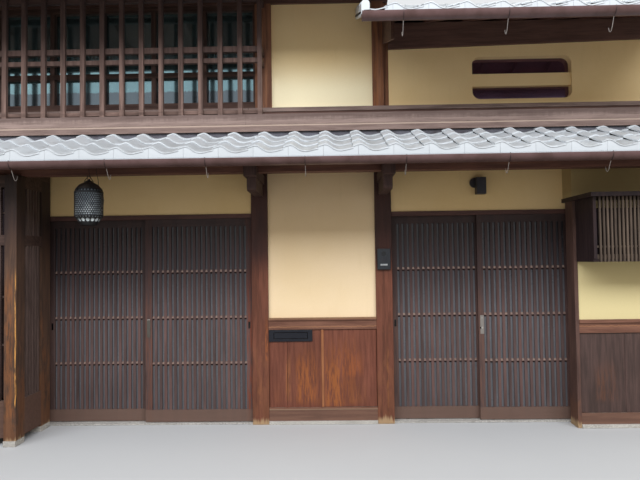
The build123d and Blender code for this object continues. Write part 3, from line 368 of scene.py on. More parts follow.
def timber(name, dark, light, lying=0.0, worn=None, bare=BARE_WOOD, bars=None, dusty=0.5, rough=0.62,
           tone_from=None, stripes=(), bands=(), warm=0.0, back=100.0, scratch=4.0):
    material, tree, shader = start_material(name)
    where = place(tree)
    wood = use_effect(tree, grain, Vector=where, Lying=lying(tree) if callable(lying) else lying)
    body = mix_shades(tree, between(tree, wood["Streaks"], 0.34, 0.66), shade(*dark), shade(*light))
    fine = sum_of(tree, "MULTIPLY_ADD", wood["Fibres"], 0.5, 0.75)
    slow = sum_of(tree, "MULTIPLY_ADD", wood["Clouds"], 0.5, 0.75)
    tone = sum_of(tree, "MULTIPLY", fine, slow)
    if bars is not None:
        own = use_effect(tree, bar_tone, Vector=where, First=bars[0], Pitch=bars[1])["Tone"]
        tone = sum_of(tree, "MULTIPLY", tone, sum_of(tree, "MULTIPLY_ADD", own, 0.36, 0.82))
        reddish = sum_of(tree, "MULTIPLY", between(tree, own, 0.45, 0.95), warm)
        body = mix_shades(tree, reddish, body, shade(*WARM_STICK))
    if tone_from is not None:
        own = put(tree, "ShaderNodeAttribute", attribute_name=tone_from).outputs["Fac"]
        tone = sum_of(tree, "MULTIPLY", tone, sum_of(tree, "MULTIPLY_ADD", own, 0.30, 0.85))
    body = mix_shades(tree, 1.0, body, gather(tree, tone, tone, tone), way="MULTIPLY")
    if worn is not None:
        rubbed = use_effect(tree, worn_low, Vector=where, Low=worn[0], High=worn[1])["Mask"]
        rubbed = sum_of(tree, "MULTIPLY", rubbed, worn[2])
        body = mix_shades(tree, rubbed, body, shade(*bare))
    for middle, half, low, top, amount, colour in stripes:
        rubbed = use_effect(tree, stripe, Vector=where, Middle=middle, Half_width=half, Low=low, High=top,
                            Back=back, Scratch=scratch)["Mask"]
        body = mix_shades(tree, sum_of(tree, "MULTIPLY", rubbed, amount), body, shade(*colour))
    for low, top, soft, ragged, amount, colour in bands:
        marked = use_effect(tree, band, Vector=where, Low=low, High=top, Soft=soft, Ragged=ragged)["Mask"]
        body = mix_shades(tree, sum_of(tree, "MULTIPLY", marked, amount), body, shade(*colour))
    ledge = use_effect(tree, dust, Vector=where, Normal=facing(tree), Amount=dusty)["Mask"]
    body = mix_shades(tree, ledge, body, shade(*LEDGE_DUST))
    join(tree, body, shader.inputs["Base Color"])
    matt = sum_of(tree, "MULTIPLY_ADD", wood["Fibres"], 0.3, rough - 0.15, clamp=True)
    join(tree, matt, shader.inputs["Roughness"])
    shader.inputs["Specular IOR Level"].default_value = 0.35
    relief = sum_of(tree, "ADD", wood["Fibres"], sum_of(tree, "MULTIPLY", wood["Streaks"], 1.2))
    set_bump(tree, shader, relief, 0.35, 0.004)
    return material


print("timber recipe ready")

# %% [markdown]
# ## Which way the grain lies in a framed piece
#
# A door panel has upright stiles and lying rails in one mesh. Its rails are the bands at its head and
# foot, so height tells the two apart. The same trick serves the bay and the lattices.

# %% Bands of height where the grain lies along the house
def lying_between(*bands):
    def mask(tree):
        high = split(tree, place(tree))[2]
        total = 0.0
        for low, top in bands:
            above = sum_of(tree, "GREATER_THAN", high, low)
            below = sum_of(tree, "LESS_THAN", high, top)
            total = sum_of(tree, "ADD", total, sum_of(tree, "MULTIPLY", above, below))
        return total
    return mask


print("bands ready")

# %% [markdown]
# ## The timbers of this house
#
# Posts, boards, rails and bars are one wood, but each weathers in its own places, and some also carry
# painted light and shade, so each gets its own call of the recipe. A stripe is written as its middle in X,
# half its width, its lowest and highest point, its strength and its colour. A band is written as its lowest
# and highest point, how softly and how raggedly it ends, its strength and its colour. Splashes fray the
# foot of every post, and the heads under the eave are darkened with painted shade.

# %% Posts and boards
BAY_FRONT = -3.486
FRAYED_FOOT = (-0.02, 0.022, 0.050, 0.17, 0.65, (200, 172, 134))
# Painted shade: the heads of the posts and the bay posts are darkened where the eave shades them.
PAINTED_EAVE_SHADE = (1.60, 2.60, 0.35, 0.0, 0.72, (36, 26, 30))
PAINTED_BAY_EAVE_SHADE = (1.86, 2.60, 0.50, 0.0, 0.72, (32, 26, 30))
post_wood = timber(
    "Post wood", (94, 58, 46), (118, 73, 58), worn=(0.0, 1.2, 0.2), dusty=0.3, scratch=9.0,
    bands=(FRAYED_FOOT, PAINTED_EAVE_SHADE),
    stripes=((0.128, 0.016, 0.55, 1.02, 0.6, (176, 104, 58)),
             (0.060, 0.030, 0.15, 0.50, 0.3, (160, 104, 68)),
             (1.215, 0.012, 0.1, 0.8, 0.35, (160, 102, 62))))
upper_post_wood = timber(
    "Upper post wood", (104, 70, 56), (142, 100, 76), dusty=0.2, scratch=3.0,
    stripes=((1.150, 0.030, 2.8, 3.9, 0.5, (164, 106, 64)),
             (1.205, 0.020, 2.8, 3.9, 0.4, (156, 102, 64)),
             (0.070, 0.030, 2.8, 3.9, 0.3, (146, 98, 66))))
bay_post_wood = timber(
    "Bay post wood", (70, 55, 48), (98, 74, 60), worn=(0.1, 1.5, 0.25), bare=(160, 100, 58), dusty=0.35,
    bands=(FRAYED_FOOT, PAINTED_BAY_EAVE_SHADE), back=BAY_FRONT, scratch=5.0,
    stripes=((-1.910, 0.045, 0.2, 1.50, 0.45, (158, 100, 58)),
             (-1.858, 0.007, 0.3, 1.52, 0.95, (216, 156, 84))))
jamb_wood = timber("Jamb wood", (76, 58, 54), (98, 74, 67), worn=(0.0, 0.5, 0.2), dusty=0.2, bands=(FRAYED_FOOT,))
board_wood = timber(
    "Board wood", (104, 62, 50), (124, 76, 61), tone_from="tone", dusty=0.1, scratch=6.0,
    stripes=((0.500, 0.150, 0.14, 0.76, 0.4, (150, 88, 50)),
             (0.800, 0.190, 0.14, 0.86, 0.4, (150, 88, 50)),
             (0.475, 0.110, 0.18, 0.66, 0.5, (172, 104, 56)),
             (0.725, 0.105, 0.12, 0.66, 0.5, (174, 106, 56)),
             (0.890, 0.130, 0.40, 0.72, 0.5, (160, 92, 52)),
             (0.315, 0.034, 0.18, 0.70, 0.45, (168, 110, 68)),
             (0.940, 0.110, 0.16, 0.46, 0.3, (150, 96, 60)),
             (0.220, 0.050, 0.16, 0.46, 0.2, (150, 92, 60))))
right_board_wood = timber(
    "Right board wood", (72, 58, 55), (90, 71, 67), tone_from="tone", dusty=0.1, scratch=6.0,
    stripes=((3.08, 0.12, 0.20, 0.62, 0.3, (130, 82, 56)),
             (3.42, 0.06, 0.30, 0.60, 0.3, (140, 92, 62))))
# Painted highlight: the proud lap strip is written lighter than the boards, for the light its edge catches.
lap_wood_painted_highlight = timber("Lap strip wood with painted highlight", (140, 90, 62), (168, 112, 76), dusty=0.1)
print("posts and boards", len([m for m in bpy.data.materials if "wood" in m.name]))

# %% Rails, beams and eaves
lintel_wood = timber("Lintel wood", (76, 53, 51), (92, 64, 60), lying=1.0, dusty=0.2)
# The pale lines along the top of the cap and the top of the foot rail are worn edges and painted highlight.
rail_wood = timber(
    "Rail wood", (106, 72, 60), (130, 92, 76), lying=1.0, dusty=0.5,
    bands=((0.9415, 0.960, 0.002, 0.006, 0.6, (150, 118, 86)),
           (0.0, 0.135, 0.004, 0.004, 0.35, (110, 92, 82)),
           (0.1285, 0.136, 0.002, 0.004, 0.5, (164, 140, 116)),
           (0.868, 0.874, 0.003, 0.020, 0.45, (176, 128, 92))))
# Painted highlight and painted shadow: the pale line at 2.656 and the thin dark line over it stand for a moulding's
# edge that is not modelled. The darker band at the top, 2.745 to 2.80, is painted shade.
beam_wood = timber(
    "Beam wood", (114, 97, 91), (144, 125, 118), lying=1.0, dusty=0.4,
    bands=((2.656, 2.664, 0.003, 0.004, 0.6, (200, 178, 162)),
           (2.668, 2.671, 0.002, 0.004, 0.4, (96, 76, 70)),
           (2.60, 2.654, 0.001, 0.002, 0.3, (118, 96, 90)),
           (2.674, 2.706, 0.003, 0.030, 0.28, (172, 150, 142)),
           (2.745, 2.80, 0.030, 0.060, 0.62, (98, 81, 77))),
    stripes=((-0.018, 0.005, 2.60, 3.1, 0.8, (70, 54, 50)),))
girder_wood = timber("Girder wood", (84, 62, 56), (104, 78, 70), lying=1.0, dusty=0.3)
eave_wood = timber("Eave wood", (96, 66, 59), (120, 84, 73), lying=1.0, dusty=0.2)
bracket_wood = timber("Bracket wood", (62, 46, 45), (84, 64, 62), dusty=0.2)
barge_wood = timber("Barge wood", (66, 46, 40), (92, 66, 56), lying=1.0, dusty=0.3)
# The cross rails' upper faces are pale from dust and painted light; their lower faces are a painted shadow.
dusty_ledge_wood_painted_light = timber("Ledge wood with dust and painted light", (118, 98, 92), (138, 116, 108), lying=1.0, dusty=0.5)
painted_shadow_wood = timber("Painted shadow wood", (34, 24, 24), (44, 31, 30), lying=1.0, dusty=0.0)
print("with rails, beams and eaves", len([m for m in bpy.data.materials if "wood" in m.name]))

# %% Lattices and windows
BOX_BARS = (2.85, 0.0447)
UPPER_BARS = (-3.85 - 0.068, 0.1753)
bay_wood = timber(
    "Bay wood", (60, 46, 42), (82, 64, 58), lying=lying_between((0.0, 0.36), (1.63, 1.715), (2.11, 2.3)),
    dusty=0.35, bands=((-0.1, 0.36, 0.30, 0.05, 0.5, (118, 90, 78)),))
lattice_wood = timber("Lattice wood", (78, 64, 60), (100, 83, 78), dusty=0.5)
box_bar_wood = timber("Box bar wood", (68, 58, 52), (98, 85, 74), dusty=0.3, bars=BOX_BARS)
box_wood = timber("Box wood", (40, 31, 34), (56, 43, 44), dusty=0.2)
# The band from 3.60 up is painted shade: it darkens the lattice under the deep eave.
upper_wood = timber(
    "Upper lattice wood", (92, 74, 68), (122, 100, 92), bars=UPPER_BARS, dusty=0.6,
    bands=((3.60, 4.2, 0.50, 0.0, 0.6, (54, 42, 46)),), lying=lying_between((2.775, 2.82), (3.8, 3.85)))
window_wood = timber("Window wood", (60, 44, 40), (84, 64, 57), dusty=0.3,
                     lying=lying_between((2.86, 2.94), (3.17, 3.22), (3.79, 3.9)))
print("with lattices", len([m for m in bpy.data.materials if "wood" in m.name]))

# %% [markdown]
# ## The wood of the sliding doors
#
# Each panel has its own count of bars, so the tone of its bars needs its own pitch. A stile is wider than
# a bar and has another tone, which the stripe effect gives: each panel gets one stripe for its left stile
# and one for its right. The foot rail is paler, and the head is darkened with painted shade, like the posts'.

# %% The doors' timbers
DOOR_BAR = 0.025
STILE_OFFSET, STILE_HALF = 0.027, 0.046
STILE_LOW, STILE_HIGH = -0.3, 2.6
PALE_FOOT_RAIL = (0.0, 0.1275, 0.0005, 0.0, 0.8, (112, 90, 80))
# Painted shade: the panels darken towards their head under the eave.
PAINTED_DOOR_EAVE_SHADE = (1.50, 2.6, 0.75, 0.0, 0.75, (44, 34, 37))
door_woods = {}
for door, low_x, high_x, bar_count, left_stile, right_stile in (
        ("door_1_left", -1.845, -1.031, 18, (84, 64, 58), (74, 56, 52)),
        ("door_1_right", -0.926, -0.060, 19, (108, 72, 60), (128, 68, 48)),
        ("door_2_left", 1.325, 2.037, 15, (100, 76, 68), (84, 62, 56)),
        ("door_2_right", 2.097, 2.835, 15, (108, 80, 70), (84, 62, 58))):
    gap = (high_x - low_x - bar_count * DOOR_BAR) / (bar_count + 1)
    stiles = ((low_x - STILE_OFFSET, STILE_HALF, STILE_LOW, STILE_HIGH, 0.8, left_stile),
              (high_x + STILE_OFFSET, STILE_HALF, STILE_LOW, STILE_HIGH, 0.8, right_stile))
    door_woods[door] = timber(
        door.replace("_", " ").capitalize() + " wood", (82, 66, 64), (98, 80, 78), dusty=0.4, warm=0.15,
        lying=lying_between((0.0, 0.128), (1.797, 1.90)), bars=(low_x + gap / 2, gap + DOOR_BAR),
        bands=(PALE_FOOT_RAIL, PAINTED_DOOR_EAVE_SHADE), stripes=stiles)
print("door timbers", len(door_woods))

# %% [markdown]
# ## Clay plaster
#
# The walls are a pale ochre clay plaster, laid by trowel over a rougher coat. From the lane it reads as
# one warm tone with slow clouds, a fine sandy tooth, and faint stained runs where water came down. The wall
# between the doors takes a paler coat as painted light. The foot of the upper wall is palest, as painted
# light, and the right wall has painted shade behind the window box and painted light below it. The
# party walls take a greyer coat.

# %% Plaster recipe
def plaster(name, pale, deep_tone, stained, painted_light_foot=None):
    material, tree, shader = start_material(name)
    where = place(tree)
    coat = use_effect(tree, mottle, Vector=where, Cloud_size=1.1, Sand_size=170.0)
    body = mix_shades(tree, between(tree, coat["Clouds"], 0.3, 0.72), shade(*pale), shade(*deep_tone))
    runs = sum_of(tree, "MULTIPLY", between(tree, coat["Runs"], 0.55, 0.8), 0.14)
    body = mix_shades(tree, runs, body, shade(*stained))
    # Painted light: a paler band at the foot of the wall.
    if painted_light_foot is not None:
        top, soft, colour = painted_light_foot
        foot = use_effect(tree, band, Vector=where, Low=0.0, High=top, Soft=soft, Ragged=0.0)["Mask"]
        body = mix_shades(tree, foot, body, shade(*colour))
    tooth = sum_of(tree, "MULTIPLY_ADD", coat["Sand"], 0.10, 0.95)
    body = mix_shades(tree, 1.0, body, gather(tree, tooth, tooth, tooth), way="MULTIPLY")
    join(tree, body, shader.inputs["Base Color"])
    join(tree, sum_of(tree, "MULTIPLY_ADD", coat["Sand"], 0.12, 0.84), shader.inputs["Roughness"])
    shader.inputs["Specular IOR Level"].default_value = 0.2
    relief = sum_of(tree, "ADD", coat["Sand"], sum_of(tree, "MULTIPLY", coat["Clouds"], 3.0))
    set_bump(tree, shader, relief, 0.22, 0.002)
    return material


ochre_plaster = plaster("Ochre plaster", (242, 216, 166), (236, 208, 154), (204, 178, 122))
# Painted light: the wall between the doors takes a paler, bluer coat than the plaster in the eave's shade.
painted_light_plaster = plaster("Plaster with painted light", (243, 220, 184), (238, 213, 172), (208, 184, 132))
# Painted light: the upper wall is palest at its foot.
painted_light_upper_plaster = plaster("Upper plaster with painted light", (243, 219, 170), (239, 212, 160), (208, 184, 132),
                        painted_light_foot=(3.00, 0.36, (255, 243, 206)))
# Painted shade and light: the right wall is dull above the box's foot and pale below it.
painted_shade_and_light_side_plaster = plaster("Side plaster with painted shade and light", (176, 158, 116), (166, 146, 104), (150, 130, 92),
                       painted_light_foot=(1.92, 0.14, (225, 210, 160)))
grey_plaster = plaster("Grey plaster", (196, 188, 172), (178, 168, 150), (140, 130, 116))
print("plasters ready")

# %% [markdown]
# ## Stone and beaten earth
#
# The low sill stones are granite, grey with dark and pale flecks. The earth floor inside is beaten and
# dull brown. Both are mottle with different sizes of fleck.

# %% Stone recipe
def speckled(name, pale, dark, fleck, rough):
    material, tree, shader = start_material(name)
    where = place(tree)
    body = use_effect(tree, mottle, Vector=where, Cloud_size=5.0, Sand_size=fleck)
    flecks = between(tree, body["Sand"], 0.40, 0.62)
    colour = mix_shades(tree, flecks, shade(*dark), shade(*pale))
    dim = sum_of(tree, "MULTIPLY_ADD", body["Clouds"], 0.6, 0.68)
    colour = mix_shades(tree, 1.0, colour, gather(tree, dim, dim, dim), way="MULTIPLY")
    join(tree, colour, shader.inputs["Base Color"])
    join(tree, sum_of(tree, "MULTIPLY_ADD", body["Sand"], 0.2, rough), shader.inputs["Roughness"])
    set_bump(tree, shader, body["Sand"], 0.5, 0.003)
    return material


granite = speckled("Granite", (214, 212, 206), (170, 166, 160), 150.0, 0.66)
pale_granite = speckled("Pale granite", (204, 202, 198), (160, 157, 152), 130.0, 0.6)
beaten_earth = speckled("Beaten earth", (126, 106, 86), (84, 68, 54), 30.0, 0.8)
print("stones ready")

# %% [markdown]
# ## Smoked roof tile
#
# The tiles are fired in smoke, which leaves a silvery carbon skin, a little metallic and uneven from
# tile to tile. Each tile's tone, with the painted highlight on its rim, is written on its faces when the
# field is laid, as the attribute `tone`, and `hollow` is 1 in a valley, where dirt and moss gather.

# %% Tile recipe
def smoked_tile(name, pale, dark):
    material, tree, shader = start_material(name)
    where = place(tree)
    skin = use_effect(tree, mottle, Vector=where, Cloud_size=7.0, Sand_size=120.0)
    own = put(tree, "ShaderNodeAttribute", attribute_name="tone").outputs["Fac"]
    hollow = put(tree, "ShaderNodeAttribute", attribute_name="hollow").outputs["Fac"]
    mixed = sum_of(tree, "ADD", sum_of(tree, "MULTIPLY", own, 0.55), sum_of(tree, "MULTIPLY", skin["Clouds"], 0.55))
    colour = mix_shades(tree, between(tree, mixed, 0.10, 0.95), shade(*dark), shade(*pale))
    dirt = sum_of(tree, "MULTIPLY", between(tree, hollow, 0.45, 1.0), between(tree, skin["Runs"], 0.34, 0.66))
    colour = mix_shades(tree, sum_of(tree, "MULTIPLY", dirt, 0.30), colour, shade(120, 116, 108))
    join(tree, colour, shader.inputs["Base Color"])
    shader.inputs["Metallic"].default_value = 0.2
    join(tree, sum_of(tree, "MULTIPLY_ADD", skin["Clouds"], 0.25, 0.32), shader.inputs["Roughness"])
    set_bump(tree, shader, skin["Sand"], 0.10, 0.002)
    return material


silver_tile = smoked_tile("Silver tile", (214, 220, 225), (191, 196, 200))
print("tiles ready")

# %% [markdown]
# ## Painted gutter, black iron and dark plastic
#
# The gutters are brown painted sheet, satin, with dust on the rim and dull runs below. The letter
# plate and the lamp are black painted metal, the intercom dark plastic, and the lantern bare dark iron
# that has gone grey on its edges. All are a thin even coat over a smooth body, so one recipe serves them.
# Made rough and dull it also gives the clay between tiles and the dark plate in the lower roof's last
# gap, which is painted shade, and made pale the liner behind the lantern's holes, which is painted light
# with painted shade at its head.

# %% Painted metal recipe
ABOVE_ALL = 9.0


def coated(name, colour, second, rough, metallic=0.0, dusty=0.4, speck=26.0, painted_shade_at_head=None):
    material, tree, shader = start_material(name)
    where = place(tree)
    coat = use_effect(tree, mottle, Vector=where, Cloud_size=speck * 0.25, Sand_size=speck * 12.0)
    body = mix_shades(tree, between(tree, coat["Clouds"], 0.35, 0.75), shade(*colour), shade(*second))
    runs = between(tree, coat["Runs"], 0.52, 0.78)
    body = mix_shades(tree, sum_of(tree, "MULTIPLY", runs, 0.35), body, shade(*second))
    # Painted shade: the colour darkens towards the head.
    if painted_shade_at_head is not None:
        low, soft, amount = painted_shade_at_head
        head = use_effect(tree, band, Vector=where, Low=low, High=ABOVE_ALL, Soft=soft, Ragged=0.0)["Mask"]
        body = mix_shades(tree, sum_of(tree, "MULTIPLY", head, amount), body, shade(*second))
    ledge = use_effect(tree, dust, Vector=where, Normal=facing(tree), Amount=dusty)["Mask"]
    body = mix_shades(tree, ledge, body, shade(*LEDGE_DUST))
    join(tree, body, shader.inputs["Base Color"])
    shader.inputs["Metallic"].default_value = metallic
    join(tree, sum_of(tree, "MULTIPLY_ADD", coat["Clouds"], 0.22, rough - 0.1), shader.inputs["Roughness"])
    set_bump(tree, shader, coat["Sand"], 0.12, 0.001)
    return material


gutter_paint = coated("Gutter paint", (104, 80, 80), (84, 62, 60), 0.42, dusty=0.35)
black_iron = coated("Black iron", (20, 23, 33), (26, 29, 38), 0.5, dusty=0.25)
lamp_iron = coated("Lamp iron", (38, 38, 48), (52, 50, 56), 0.5, dusty=0.25)
slate_plastic = coated("Slate plastic", (38, 42, 48), (46, 50, 56), 0.4, dusty=0.2)
lantern_iron = coated("Lantern iron", (28, 30, 35), (44, 48, 53), 0.42, metallic=0.2, dusty=0.2, speck=80.0)
# Painted light: a pale liner seen through the lantern's holes, with painted shade at its head.
painted_light_liner = coated("Liner with painted light and shade", (234, 246, 252), (108, 121, 131), 0.6, dusty=0.0, speck=64.0,
                       painted_shade_at_head=(2.03, 0.17, 0.85))
dark_wire = coated("Dark wire", (48, 42, 44), (66, 58, 58), 0.45, metallic=0.3, dusty=0.1)
pale_wire = coated("Pale wire", (176, 170, 166), (146, 140, 138), 0.4, metallic=0.3, dusty=0.1)
dull_steel = coated("Dull steel", (150, 145, 140), (132, 127, 122), 0.4, metallic=0.3, dusty=0.2)
worn_brass = coated("Worn brass", (92, 90, 84), (82, 76, 70), 0.45, metallic=0.2, dusty=0.4)
pale_steel = coated("Pale steel", (190, 185, 180), (172, 168, 162), 0.35, metallic=0.3, dusty=0.2)
pale_strip = coated("Pale strip", (176, 180, 182), (150, 154, 158), 0.5, dusty=0.0)
dark_lens = coated("Dark lens", (12, 12, 14), (20, 22, 26), 0.15, dusty=0.0)
valley_clay = coated("Valley clay", (98, 98, 106), (70, 66, 70), 0.85, dusty=0.0)
# Painted shade: the dark plate in the lower roof's last gap.
painted_shade_clay = coated("Clay with painted shade", (58, 48, 44), (44, 36, 34), 0.85, dusty=0.1)
print("metals ready")

# %% [markdown]
# ## Glass
#
# The door panes are dusty and dull, so they read as a grey-blue sheet behind the bars, with painted shade
# at the head. The street panes of the upper window are glossy, with the lane's sky painted into them as a
# painted reflection and a darker painted reflection at their foot. The slits and the rear panes don't mirror
# the sky: they are dull and dark, a painted shade for the unlit rooms. The rooms are unlit, so real
# see-through glass would only add noise: an opaque, glossy sheet looks the same and stays clean.

# %% Glass recipe
def pane(name, colour, second, rough, metallic=0.0):
    material, tree, shader = start_material(name)
    where = place(tree)
    film = use_effect(tree, mottle, Vector=where, Cloud_size=2.2, Sand_size=60.0)
    body = mix_shades(tree, between(tree, film["Clouds"], 0.3, 0.7), shade(*colour), shade(*second))
    body = mix_shades(tree, sum_of(tree, "MULTIPLY", between(tree, film["Runs"], 0.5, 0.8), 0.3), body, shade(*second))
    join(tree, sum_of(tree, "MULTIPLY_ADD", film["Clouds"], 0.12, rough), shader.inputs["Roughness"])
    set_bump(tree, shader, film["Clouds"], 0.05, 0.004)
    shader.inputs["Metallic"].default_value = metallic
    return material, tree, shader, body


door_pane, tree, shader, body = pane("Door pane", (112, 115, 121), (98, 100, 106), 0.22)
# Painted shade: the panes darken towards their head.
painted_shade_head = use_effect(tree, band, Vector=place(tree), Low=1.66, High=3.0, Soft=0.75, Ragged=0.0)["Mask"]
body = mix_shades(tree, sum_of(tree, "MULTIPLY", painted_shade_head, 0.85), body, shade(34, 34, 40))
join(tree, body, shader.inputs["Base Color"])
print("door pane ready")

# %% Upper pane
WINDOW_RIGHT, WINDOW_BOTTOM = 1.2, 2.8
REFLECTION_FOOT_TOP = 3.055
# Painted reflection: the sky-blue colour of the street panes stands for the sky they mirror.
upper_pane, tree, shader, body = pane("Upper pane", (150, 186, 192), (128, 160, 168), 0.05, metallic=0.9)
along, deep, high = split(tree, place(tree))
# Painted reflection: a darker band at the foot of the panes.
painted_reflection_foot = use_effect(tree, band, Vector=place(tree), Low=2.0, High=REFLECTION_FOOT_TOP, Soft=0.012, Ragged=0.05)["Mask"]
body = mix_shades(tree, sum_of(tree, "MULTIPLY", painted_reflection_foot, 0.85), body, shade(104, 109, 116))
upstairs = sum_of(tree, "GREATER_THAN", high, WINDOW_BOTTOM)
painted_sky_reflection = sum_of(tree, "MULTIPLY", sum_of(tree, "LESS_THAN", along, WINDOW_RIGHT), upstairs)
painted_sky_reflection = sum_of(tree, "MULTIPLY", painted_sky_reflection, sum_of(tree, "LESS_THAN", deep, 0.0))
# Painted shade: the other panes are dark for the unlit rooms behind them.
unlit = mix_shades(tree, upstairs, shade(35, 28, 32), shade(116, 94, 118))
body = mix_shades(tree, painted_sky_reflection, unlit, body)
join(tree, body, shader.inputs["Base Color"])
print("panes ready")

# %% [markdown]
# ## Put the finishes on the joiner's nodes
#
# The nodes whose shape is already right keep it and only get their finish. A table of node and material
# is the plainest way, and it shows at a glance that nothing was missed.

# %% Node finishes
finishes = {
    "ground_slab": beaten_earth, "stone_strips": granite, "bay_stones": granite, "door_thresholds": pale_granite,
    "front_posts": post_wood, "right_jamb": jamb_wood, "wall_rails": rail_wood, "wall_boards": board_wood,
    "middle_plaster": painted_light_plaster, "door_plaster": ochre_plaster, "right_plaster": painted_shade_and_light_side_plaster,
    "upper_middle_plaster": painted_light_upper_plaster, "upper_right_plaster": ochre_plaster, "door_lintels": lintel_wood,
    "bay_posts": bay_post_wood, "bay_rails": bay_wood, "bay_lattice": lattice_wood, "bay_boards": bay_wood,
    "window_box": box_wood, "box_lattice": box_bar_wood,
    "eave_purlin": eave_wood, "eave_brackets": bracket_wood, "pent_roof_boards": eave_wood,
    "pent_roof_tiles": silver_tile, "left_roof_tiles": silver_tile, "right_roof_tiles": silver_tile,
    "roof_ridges": silver_tile, "pent_gutter": gutter_paint, "upper_gutters": gutter_paint,
    "front_girder": girder_wood, "upper_rail": beam_wood, "sill_beam": beam_wood, "upper_posts": upper_post_wood,
    "upper_window": window_wood, "upper_lattice": upper_wood, "wall_plates": girder_wood,
    "window_glass": upper_pane, "left_party_wall": grey_plaster, "right_party_wall": grey_plaster,
    "step_wall": grey_plaster, "rear_posts": post_wood, "rear_wall": ochre_plaster,
    "rear_windows": window_wood, "ridge_beams": eave_wood, "left_roof_boards": eave_wood,
    "right_roof_boards": eave_wood, "barge_boards": barge_wood, "lantern": lantern_iron,
    "wall_lamp": lamp_iron, "intercom": slate_plastic, "mail_plate": black_iron, "mail_flap": black_iron,
}
for door, wood in door_woods.items():
    finishes[f"{door}_panel"] = wood
    finishes[f"{door}_glass"] = door_pane
for name, finish in finishes.items():
    for slot in nodes[name].material_slots:
        slot.material = finish
    if not nodes[name].material_slots:
        nodes[name].data.materials.append(finish)
print("finished nodes", len(finishes), "left over", sorted(set(nodes) - set(finishes)))

# %% [markdown]
# ## Making a mesh from given points
#
# The next pieces are new meshes. A list of points and a list of faces is enough to make one; the helper
# also gives it its finish, the body that it moves with and, where asked, a tone for each face.

# %% Mesh helper
def add_piece(name, points, faces, finish, slot, body="house", tones=None, hollows=None, smooth_angle=None,
              second=None, second_faces=()):
    mesh = bpy.data.meshes.new(name)
    mesh.from_pydata(points, [], faces)
    mesh.update()
    mesh.materials.append(finish)
    if second is not None:
        mesh.materials.append(second)
        for index in second_faces:
            mesh.polygons[index].material_index = 1
    if tones is not None:
        mesh.attributes.new("tone", "FLOAT", "FACE").data.foreach_set("value", tones)
    if hollows is not None:
        mesh.attributes.new("hollow", "FLOAT", "POINT").data.foreach_set("value", hollows)
    if smooth_angle is not None:
        mesh.polygons.foreach_set("use_smooth", [True] * len(mesh.polygons))
        mesh.set_sharp_from_angle(angle=math.radians(smooth_angle))
    piece = bpy.data.objects.new(name, mesh)
    bpy.context.scene.collection.objects.link(piece)
    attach(piece, body)
    return piece


print("mesh helper ready")

# %% [markdown]
# ## Laying the tiles
#
# A wave tile rises from its seam to a hump and falls gently to the next seam. Tiles lie in courses, each
# course over the one below, so every lower edge shows as a small step. One tile could be modelled and
# copied with an array, but real courses are never quite true. Here every tile is written out with its
# own small shift and tone, and its front edge is written brighter, as a painted highlight where light
# catches the rim. The tiles of the eave course end in a flat apron with a straight lower edge.

# %% Shape of one wave tile
WAVE_SHAPE = ((0.0, 32), (0.08, 41), (0.2, 50), (0.28, 45), (0.36, 31), (0.45, 14), (0.55, 3), (0.65, 0),
              (0.75, 3), (0.85, 9), (0.93, 14), (1.0, 18))
WAVE_HEIGHT = 0.050
TILE_PITCH = 0.2675
FIRST_EDGE = -1.777
FIRST_SEAM = -1.737
COURSE_STEP = 0.218
NOSE = 0.011
RIM = 0.012
APRON_BOTTOM = 0.095
ROOF_PITCH = 0.40


def wave(share):
    for (low, low_height), (high, high_height) in zip(WAVE_SHAPE, WAVE_SHAPE[1:]):
        if share <= high:
            part = max(0.0, share - low) / (high - low)
            part = part * part * (3 - 2 * part) * 0.35 + part * 0.65
            return (low_height + (high_height - low_height) * part) / 1000 - WAVE_HEIGHT
    return WAVE_SHAPE[-1][1] / 1000 - WAVE_HEIGHT


ACROSS = sorted({round(share + extra, 3) for share, _ in WAVE_SHAPE[:-1] for extra in (0.0, 0.05)} | {1.0})
heights = [wave(share) for share in ACROSS]
print("crown", round(max(heights), 4), "pan", round(min(heights), 4), "points", len(ACROSS))

# %% Join rows of points into a strip
def lay_strip(points, faces, tones, hollows, rows, tone, uphill, dents, rim_painted_highlight=0.0):
    """Join rows of points, one behind the other, with faces, and close both ends."""
    width, start = len(rows[0]), len(points)
    for row in rows:
        points.extend(row)
        hollows.extend(dents)
    for row in range(len(rows) - 1):
        for index in range(width - 1):
            corner = start + row * width + index
            face = (corner, corner + 1, corner + width + 1, corner + width)
            faces.append(face if uphill > 0 else face[::-1])
            # Painted highlight: the rim rows are written brighter.
            tones.append(min(1.0, tone + rim_painted_highlight) if row in (1, 2) else tone)
    for side in (0, width - 1):
        ring = [start + row * width + side for row in range(len(rows))]
        faces.append(tuple(ring if (side == 0) == (uphill > 0) else ring[::-1]))
        tones.append(tone)


def cut_shares(x_range, left, marks):
    low_share = max(0.0, (x_range[0] - left) / TILE_PITCH)
    high_share = min(1.0, (x_range[1] - left) / TILE_PITCH)
    kept = {round(share, 5) for share in marks if low_share < share < high_share}
    return sorted(kept | {round(low_share, 5), round(high_share, 5)})


print("strip helper ready")

# %% [markdown]
# ## One field of tiles
#
# The edge of a tile is a row of small steps back and down: the butt, the rounded rim and the start of the
# back. Those steps are written once, as how far back and how far down, and every tile follows them. The
# last step reaches under the next course. An apron has its own list, with a groove across its face.

# %% Lay one field of tiles
TILE_EDGE = ((0.060, 0.014), (0.005, RIM), (0.0, RIM - 0.003), (0.0, 0.004), (0.005, 0.0), (0.030, 0.0))
OVERLAP = 1.12
SHRINK = 0.002
# Painted highlight: how much brighter a tile's rim is written.
RIM_PAINTED_HIGHLIGHT = 0.9
APRON_FACE = ((0.005, 0.017), (0.008, 0.0155), (0.005, 0.014), (0.005, 0.003), (0.008, 0.0), (0.026, 0.0))
APRON_TUCK = 0.009
APRON_SPANS = 14
HALF_JOINT = 0.0008
LEAST_WIDTH = 0.01


